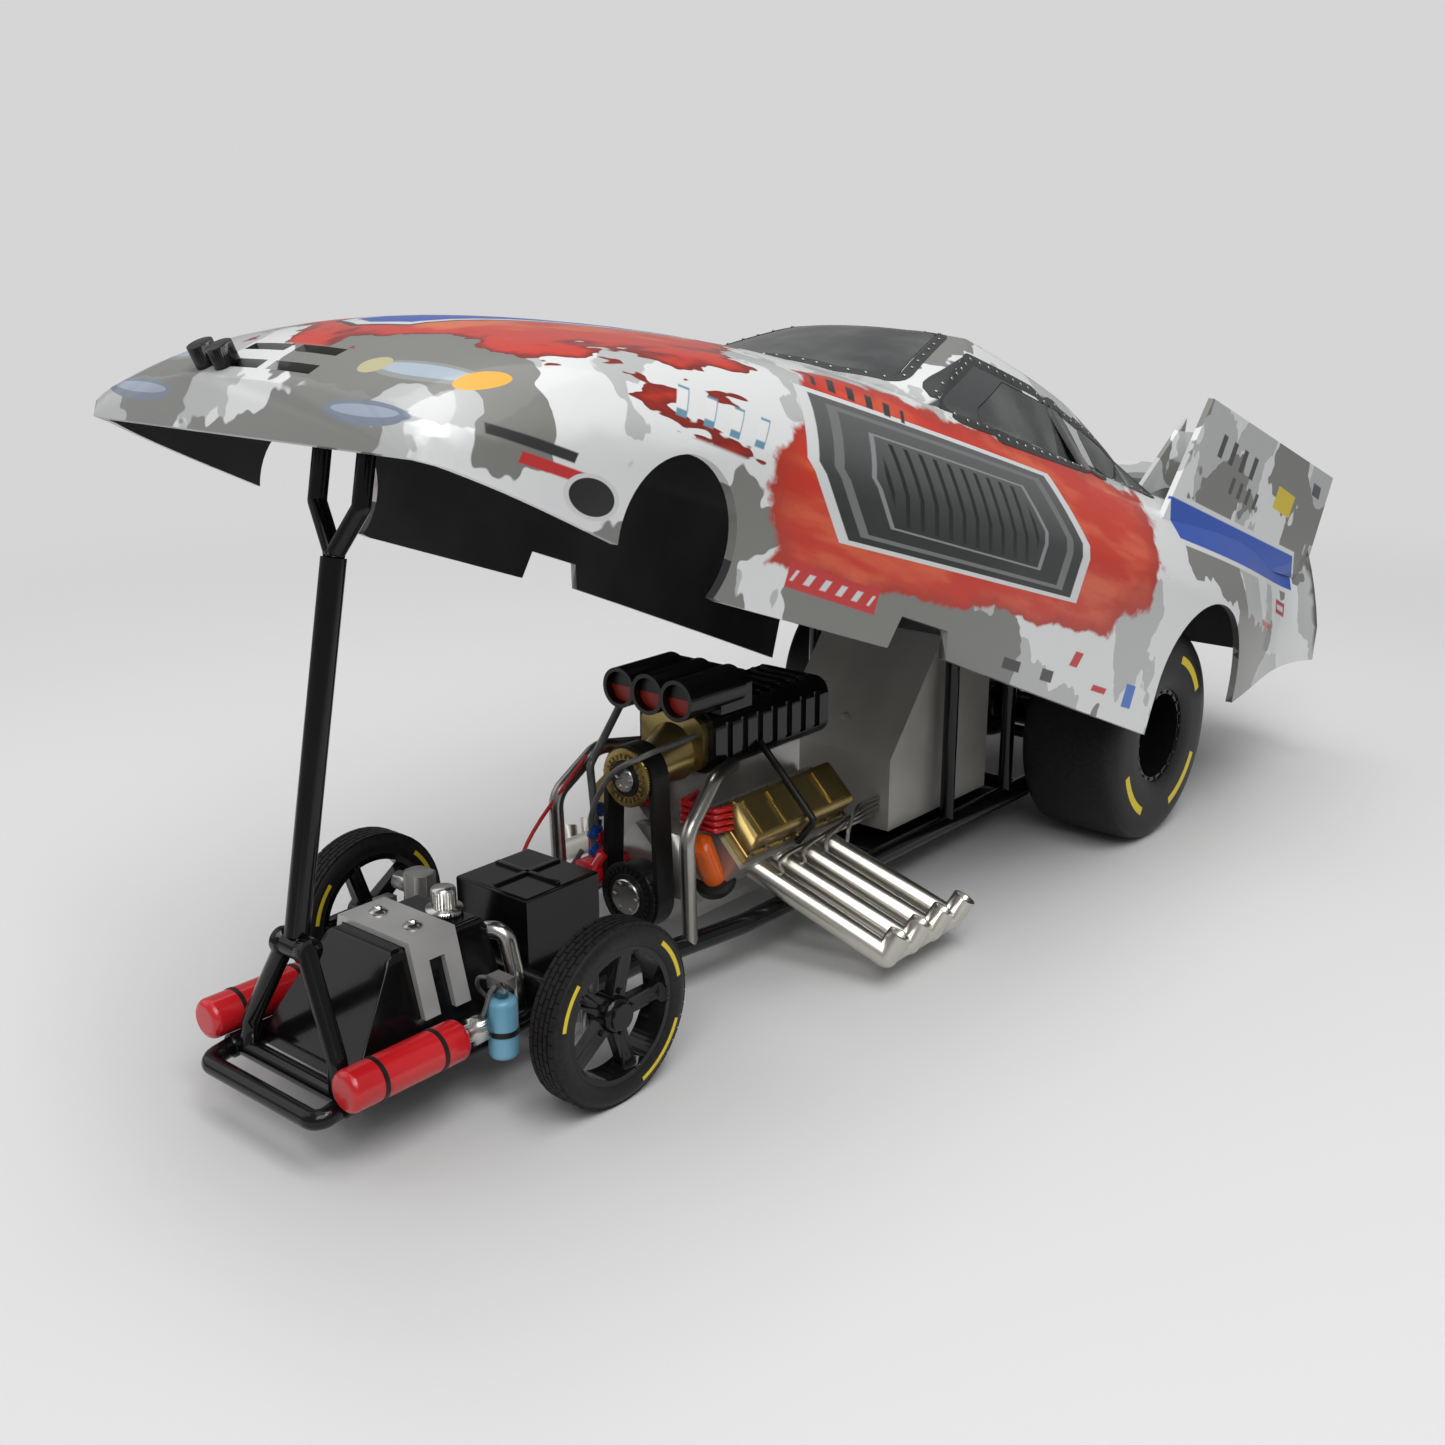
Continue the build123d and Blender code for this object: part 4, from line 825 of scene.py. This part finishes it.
class DRAGCAR_OT_tyres(bpy.types.Operator):
    """Turns the four tyres, with tread blocks on the narrow front ones."""
    bl_idname = "dragcar.tyres"
    bl_label = "Tyres"

    def execute(self, context):
        look = context.scene.drag_car
        rubber = {"front": marked_rubber("front tyre rubber", look, FRONT_HUB, FRONT_MARKS, 11.5),
                  "rear": marked_rubber("rear tyre rubber", look, REAR_HUB, REAR_MARKS, 18.6)}
        outlines = {"front": FRONT_OUTLINE, "rear": REAR_OUTLINE}
        for name in TYRES:
            end = name.split("_")[0]
            low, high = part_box(name)
            centre = (low + high) / 2
            tyre = Shape().lathe(mirrored(outlines[end]), centre, LEFT, 96)
            piece = tyre.finish(name + "_rubber", rubber[end], body=BODY_OF[name], angle=50)
            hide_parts(name)
            if end == "front":
                add_tread(name, centre, look, rubber[end])
        return {"FINISHED"}


def wheel_ring(name, hub, side, radius, count, lift):
    """Rows round a wheel's outer face, seated on it."""
    beside = Vector((0.08 * side, hub.y, hub.z))
    rows = [(beside + out * radius * MM, out) for out in spokes(count, BACK * side, UP)]
    return seated(name, rows, -LEFT * side, lift)


class DRAGCAR_OT_wheel_fittings(bpy.types.Operator):
    """Adds hub caps, wheel nuts and rim bolts."""
    bl_idname = "dragcar.wheel_fittings"
    bl_label = "Wheel fittings"

    def execute(self, context):
        ends = (("front", FRONT_HUB, 2.9, 1.85), ("rear", REAR_HUB, 4.2, 2.4))
        for end, hub, nut_radius, cap_radius in ends:
            for hand, side in (("left", 1), ("right", -1)):
                wheel = f"{end}_wheel_{hand}"
                body = BODY_OF[wheel]
                nuts = wheel_ring(wheel, hub, side, nut_radius, 5, 0.15)
                scatter(wheel + "_nuts", "bolt", (0.8, 0.8, 0.5), "satin_black", nuts, body)
                foot = wheel_ring(wheel, hub, side, cap_radius - 0.1, 1, 0.0)[0][0]
                cap = Shape().disc(Vector((foot.x, hub.y, hub.z)), LEFT * side, cap_radius, 0.45)
                cap.finish(wheel + "_cap", "gloss_black", body=body)
                if end == "rear":
                    edge = wheel_ring(wheel, hub, side, 7.85, 20, 0.06)
                    scatter(wheel + "_rim_bolts", "bolt", (0.6, 0.6, 0.3), "satin_black", edge, body)
        return {"FINISHED"}


BANK_LEAN = 0.7071     # the cylinder banks lean 45 degrees


def bank_axis(side, rise=1):
    """Direction out of one cylinder bank, or across it towards the ground with a rise of -1."""
    return Vector((BANK_LEAN * side, 0, BANK_LEAN * rise))


def bank(side, out, across, y):
    """A point over one cylinder bank: mm out along its axis, across it and along the car."""
    return at(6.9 * side, y, 16.6) + (bank_axis(side) * out + bank_axis(side, -1) * across) * MM


def dress_covers():
    """Bolts round the valve covers and raised pads on their tops."""
    bolts, pads = [], []
    for side in (1, -1):
        edge = [(bank(side, 12.0, across, -25.4 + 3.63 * number), BACK)
                for number in range(7) for across in (-4.1, 4.1)]
        bolts += seated("valve_covers", edge, -bank_axis(side), 0.2)
        ridge = [(bank(side, 14.0, 0.0, -22.6 + 5.4 * number), BACK) for number in range(4)]
        pads += seated("valve_covers", ridge, -bank_axis(side), 0.1)
    scatter("cover_bolts", "bolt", (0.8, 0.8, 0.5), "silver", bolts)
    scatter("cover_pads", "block", (3.9, 5.4, 0.5), "gold", pads)


def dress_blower():
    """Ribs and end bolts on the supercharger, and bolts on the injector hat."""
    above = [(at(0, -13.6 + 2.4 * number, 60), LEFT) for number in range(7)]
    ribs = seated("supercharger", above, -UP, 0.15)
    scatter("blower_top_ribs", "block", (9.0, 0.7, 0.6), "gloss_black", ribs)
    plate = Shape().slab(at(-6.6, 2.65, 29.4), at(6.6, 3.3, 36.8), 0.2)
    plate.finish("blower_rear_plate", "gold")
    bolts = [(at(x, 3.4, z), BACK, UP) for z in (30.2, 36.0) for x in (-5.8, -3.5, -1.2, 1.2, 3.5, 5.8)]
    scatter("blower_plate_bolts", "bolt", (0.7, 0.7, 0.5), "silver", bolts)
    hat = []
    for number in range(6):
        place, normal = seat("injector_hat", at(-6.2 + 2.48 * number, -18.2, 70), -UP)
        hat.append((place + normal * 0.12 * MM, normal, BACK))
    scatter("hat_bolts", "bolt", (0.75, 0.75, 0.45), "satin_black", hat)


def pulley_ring(front, radius, lift, count):
    """Rows round a pulley's front face, in mm from its middle and off it."""
    return [(front + out * radius * MM - BACK * lift * MM, -BACK, out) for out in spokes(count, LEFT, UP)]


def dress_pulleys():
    """A toothed ring, hub and bolts on each pulley."""
    upper, lower = at(0, -33.2, 29.5), at(0, -33.2, 11.5)
    for name, centre, radius, count, finish in (("upper_pulley", upper, 3.8, 24, "gold"),
                                                ("lower_pulley", lower, 4.6, 28, "satin_black")):
        face, _ = seat("blower_pulleys", centre + LEFT * 0.45 * radius * MM - BACK * 0.05, BACK)
        front = Vector((centre.x, face.y, centre.z))
        teeth = pulley_ring(front, radius - 0.55, 0.12, count)
        scatter(name + "_teeth", "block", (0.7, 0.5, 0.4), finish, teeth)
        hub = Shape().disc(front + BACK * 0.1 * MM, -BACK, radius - 1.1, 0.3)
        hub.disc(front - BACK * 0.1 * MM, -BACK, radius - 1.9, 0.5, slot=1)
        hub.finish(name + "_hub", "satin_black", "silver")
        bolts = pulley_ring(front, radius - 2.5, 0.62, 6)
        scatter(name + "_bolts", "bolt", (0.6, 0.6, 0.35), "silver", bolts)


def add_hoses():
    """Hoses in front of the belt, blue fittings and the filter's black foot."""
    hoses = Shape()
    hoses.tube([at(-6.4, -35.6, 16.6), at(-5.8, -36.6, 23), at(-1.4, -37.0, 30), at(3.4, -35.6, 33.4),
                seat("blower_snout", at(4.6, -50, 34.4), BACK)[0] + BACK * 0.3 * MM], 0.42)
    hoses.tube([at(-10.6, -34.0, 15.5), at(-12.2, -36.0, 11.0), at(-9.0, -40.5, 8.2),
                at(-4.0, -45.0, 7.6)], 0.42)
    hoses.tube([at(-6.0, -36.8, 12.4), at(-3.0, -40.5, 10.0), at(2.5, -43.0, 9.0),
                at(6.5, -46.0, 8.6)], 0.42)
    hoses.finish("engine_hoses", "hose")
    fittings = Shape()
    union = ((-0.9, 0.45), (-0.9, 0.85), (-0.2, 0.85), (0.0, 0.62), (0.9, 0.62), (0.9, 0.45))
    for x, y, z, tilt in ((-8.0, -33.2, 19.8, 0.0), (-8.1, -32.6, 22.2, 0.1), (-6.3, -35.7, 17.4, 0.1),
                          (-6.0, -36.1, 20.2, 0.1)):
        fittings.lathe(union, at(x, y, z), (tilt, 0.2, 1.0), 6)
    fittings.finish("hose_fittings", "deep_blue")
    start, end = at(9.6, -27, 13.4), at(11, -32, 21.4)
    axis = (end - start).normalized()
    foot = Shape().lathe(((0.1, 1.4), (0.1, 3.0), (1.1, 3.0), (1.5, 2.6), (1.5, 1.4)), start, axis, 32)
    foot.finish("filter_foot", "satin_black")


def add_probes():
    """Cables from the headers into the tub, and the red cable beside the blower."""
    probes = Shape()
    for side in (1, -1):
        for number in range(4):
            y = -20.9 + 5.3 * number
            foot, _ = seat("headers_left" if side > 0 else "headers_right", at(16.9 * side, y, 30), -UP)
            end, _ = seat("cockpit_tub", at(9.4 * side, 8, 13.0 + 0.8 * number), BACK)
            bend, rise = foot + Vector((-0.4 * side, 1.2, 2.2)) * MM, 0.8 * number
            probes.tube([foot, bend, at(15.0 * side, 0.5, 16.4 + rise), at(12.0 * side, 8.0, 14.6 + rise),
                         end + BACK * 0.4 * MM], 0.34, 8)
    probes.finish("header_probes", "tube")
    cable = Shape().tube([at(-9.6, -33.5, 30.4), at(-14.0, -40.5, 19.5), at(-12.4, -46.8, 13.0)], 0.3)
    cable.finish("red_cable", "red")


class DRAGCAR_OT_engine_fittings(bpy.types.Operator):
    """Adds bolts, pulley teeth, ribs, hoses and fittings to the engine."""
    bl_idname = "dragcar.engine_fittings"
    bl_label = "Engine fittings"

    def execute(self, context):
        dress_covers()
        dress_blower()
        dress_pulleys()
        add_hoses()
        add_probes()
        return {"FINISHED"}


def dress_tank():
    """Bolts on the saddle and knurling on the filler cap."""
    bolts = Shape()
    for x in (-3.4, 3.2):
        place, _ = seat("tank_saddle", at(x, -77.0, 60), -UP)
        bolts.lathe(((0, 0), (0, 1.25), (0.2, 1.2), (0.5, 0.8), (0.6, 0)), place, UP, 28)
        bolts.disc(place + UP * 0.5 * MM, UP, 0.5, 0.35, 6)
    bolts.finish("saddle_bolts", "silver")
    cap = at(1.6, -70.6, 23.3)
    knurl = [(cap + out * 1.5 * MM, UP, out) for out in spokes(26, LEFT, BACK)]
    scatter("cap_knurl", "block", (0.22, 0.2, 2.3), "silver", knurl)


def dress_battery():
    """Crossed ribs on the battery's lid."""
    top = seat("battery_box", at(0, -54.8, 60), -UP)[0].z
    ribs = Shape()
    for low, high in (((-5.9, -55.2), (5.9, -54.4)), ((-0.4, -60.6), (0.4, -49.0))):
        start, end = at(*low, 0), at(*high, 0)
        start.z, end.z = top - 0.1 * MM, top + 0.35 * MM
        ribs.slab(start, end, 0.12)
    ribs.finish("battery_ribs", "gloss_black")


def dress_bottles():
    """Bands round the three bottles and hoses on their valves."""
    bands = Shape()
    band = ((-0.3, 2.5), (-0.3, 2.68), (0.3, 2.68), (0.3, 2.5))
    for side in (1, -1):
        for y in (-91.9, -83.2):
            bands.lathe(band, at(13.6 * side, y, 11.24), BACK, 40)
    bands.lathe(((-0.35, 1.8), (-0.35, 2.0), (0.35, 2.0), (0.35, 1.8)), at(14.45, -73.0, 10.2), UP, 36)
    bands.finish("bottle_bands", "satin_black")
    hoses = Shape()
    hoses.tube([at(13.6, -76.2, 11.6), at(13.9, -75.2, 13.6), at(14.2, -74.6, 15.6),
                at(14.45, -73.4, 16.6)], 0.32)
    hoses.tube([at(13.4, -73.4, 16.9), at(11.6, -74.0, 16.6), at(9.9, -72.6, 14.0),
                at(10.4, -70.0, 10.6)], 0.28)
    hoses.finish("bottle_hoses", "hose")


class DRAGCAR_OT_front_fittings(bpy.types.Operator):
    """Adds bolts, bands, knurling and hoses to the tank, battery and bottles."""
    bl_idname = "dragcar.front_fittings"
    bl_label = "Front end fittings"

    def execute(self, context):
        dress_tank()
        dress_battery()
        dress_bottles()
        return {"FINISHED"}


CAMERA_PLACE = at(147.9, -190.4, 102.9)
CAMERA_AZIMUTH = math.radians(40.0)
CAMERA_ELEVATION = math.radians(16.95)
SENSOR = 36.0
CAMERA_LENS = SENSOR * 1598.0 / 1445.0     # focal length over width of the photo, in pixels
BACKDROP = 0.67
LAMP_AIM = Vector((0, 0, 0.03))
# Soft lamps: name, place, sides, power
LAMPS = (("key", (0.45, -0.5, 0.75), (0.6, 0.6), 4.2), ("fill", (-0.55, -0.35, 0.45), (0.6, 0.6), 0.8),
         ("strip", (0.12, -0.05, 0.62), (0.14, 0.9), 2.2), ("top", (-0.1, 0.1, 0.85), (0.8, 0.8), 1.8))


def add_camera(scene):
    """The camera that was fitted to the photo."""
    camera = put("camera", bpy.data.cameras.new("camera"))
    camera.data.lens = CAMERA_LENS
    camera.data.sensor_width = SENSOR
    camera.data.clip_start = 0.01
    camera.location = CAMERA_PLACE
    camera.rotation_euler = (math.pi / 2 - CAMERA_ELEVATION, 0, CAMERA_AZIMUTH)
    scene.camera = camera


def add_floor():
    """A pale ground that fades out towards its rim."""
    floor_mesh = bpy.data.meshes.new("studio_floor")
    shape = bmesh.new()
    bmesh.ops.create_grid(shape, x_segments=1, y_segments=1, size=3.0)
    shape.to_mesh(floor_mesh)
    shape.free()
    floor = put("studio_floor", floor_mesh)
    ground = Paint("studio floor", Roughness=0.9)
    place = ground.place()
    x, y, _ = ground.axes(place)
    away = (x * x + y * y).math("SQRT")
    tone = ground.mix(ground.noise(place, 3.0), grey(0.63), grey(0.65))
    floor_mesh.materials.append(ground.coat(Base_Color=tone, Alpha=ground.step(away, 0.42, 0.16)))


def add_world(scene):
    """A bright backdrop for the camera and dimmer light for the model."""
    world = bpy.data.worlds.new("studio")
    scene.world = world
    world.use_nodes = True
    nodes = world.node_tree.nodes
    lit, result = nodes["Background"], nodes["World Output"]
    seen = nodes.new("ShaderNodeBackground")
    seen.inputs["Color"].default_value = (BACKDROP, BACKDROP, BACKDROP, 1.0)
    lit.inputs["Color"].default_value = (0.28, 0.28, 0.285, 1.0)
    choose, path = nodes.new("ShaderNodeMixShader"), nodes.new("ShaderNodeLightPath")
    link(world.node_tree, (path, "Is Camera Ray", choose, "Fac"), (lit, "Background", choose, 1),
         (seen, "Background", choose, 2), (choose, "Shader", result, "Surface"))


def add_lamps():
    for name, spot, size, power in LAMPS:
        lamp = put(name, bpy.data.lights.new(name, "AREA"))
        lamp.data.shape = "RECTANGLE"
        lamp.data.size, lamp.data.size_y = size
        lamp.data.energy = power
        lamp.location = spot
        lamp.rotation_euler = (LAMP_AIM - lamp.location).to_track_quat("-Z", "Y").to_euler()


class DRAGCAR_OT_stage(bpy.types.Operator):
    """Sets up the pale floor, soft lights and the camera."""
    bl_idname = "dragcar.stage"
    bl_label = "Studio"

    def execute(self, context):
        scene = context.scene
        add_camera(scene)
        add_floor()
        add_world(scene)
        add_lamps()
        scene.view_settings.view_transform = "Standard"
        return {"FINISHED"}


class DRAGCAR_PT_sidebar(bpy.types.Panel):
    """Lists the look and the steps that dress the model."""
    bl_idname = "DRAGCAR_PT_sidebar"
    bl_label = "Drag car model"
    bl_space_type = "VIEW_3D"
    bl_region_type = "UI"
    bl_category = "Drag car"

    def draw(self, context):
        for name in DragCarLook.__annotations__:
            self.layout.prop(context.scene.drag_car, name)
        for step in STEPS:
            self.layout.operator(step.bl_idname)


STEPS = (DRAGCAR_OT_finish_solids, DRAGCAR_OT_window_borders, DRAGCAR_OT_tyres, DRAGCAR_OT_wheel_fittings,
         DRAGCAR_OT_engine_fittings, DRAGCAR_OT_front_fittings, DRAGCAR_OT_stage)
CLASSES = (DragCarLook, *STEPS, DRAGCAR_PT_sidebar)


def register():
    for cls in CLASSES:
        bpy.utils.register_class(cls)
    bpy.types.Scene.drag_car = bpy.props.PointerProperty(type=DragCarLook)


def unregister():
    del bpy.types.Scene.drag_car
    for cls in reversed(CLASSES):
        bpy.utils.unregister_class(cls)


def main():
    register()
    for step in STEPS:
        group, name = step.bl_idname.split(".")
        getattr(getattr(bpy.ops, group), name)()


if __name__ == "__main__":
    main()
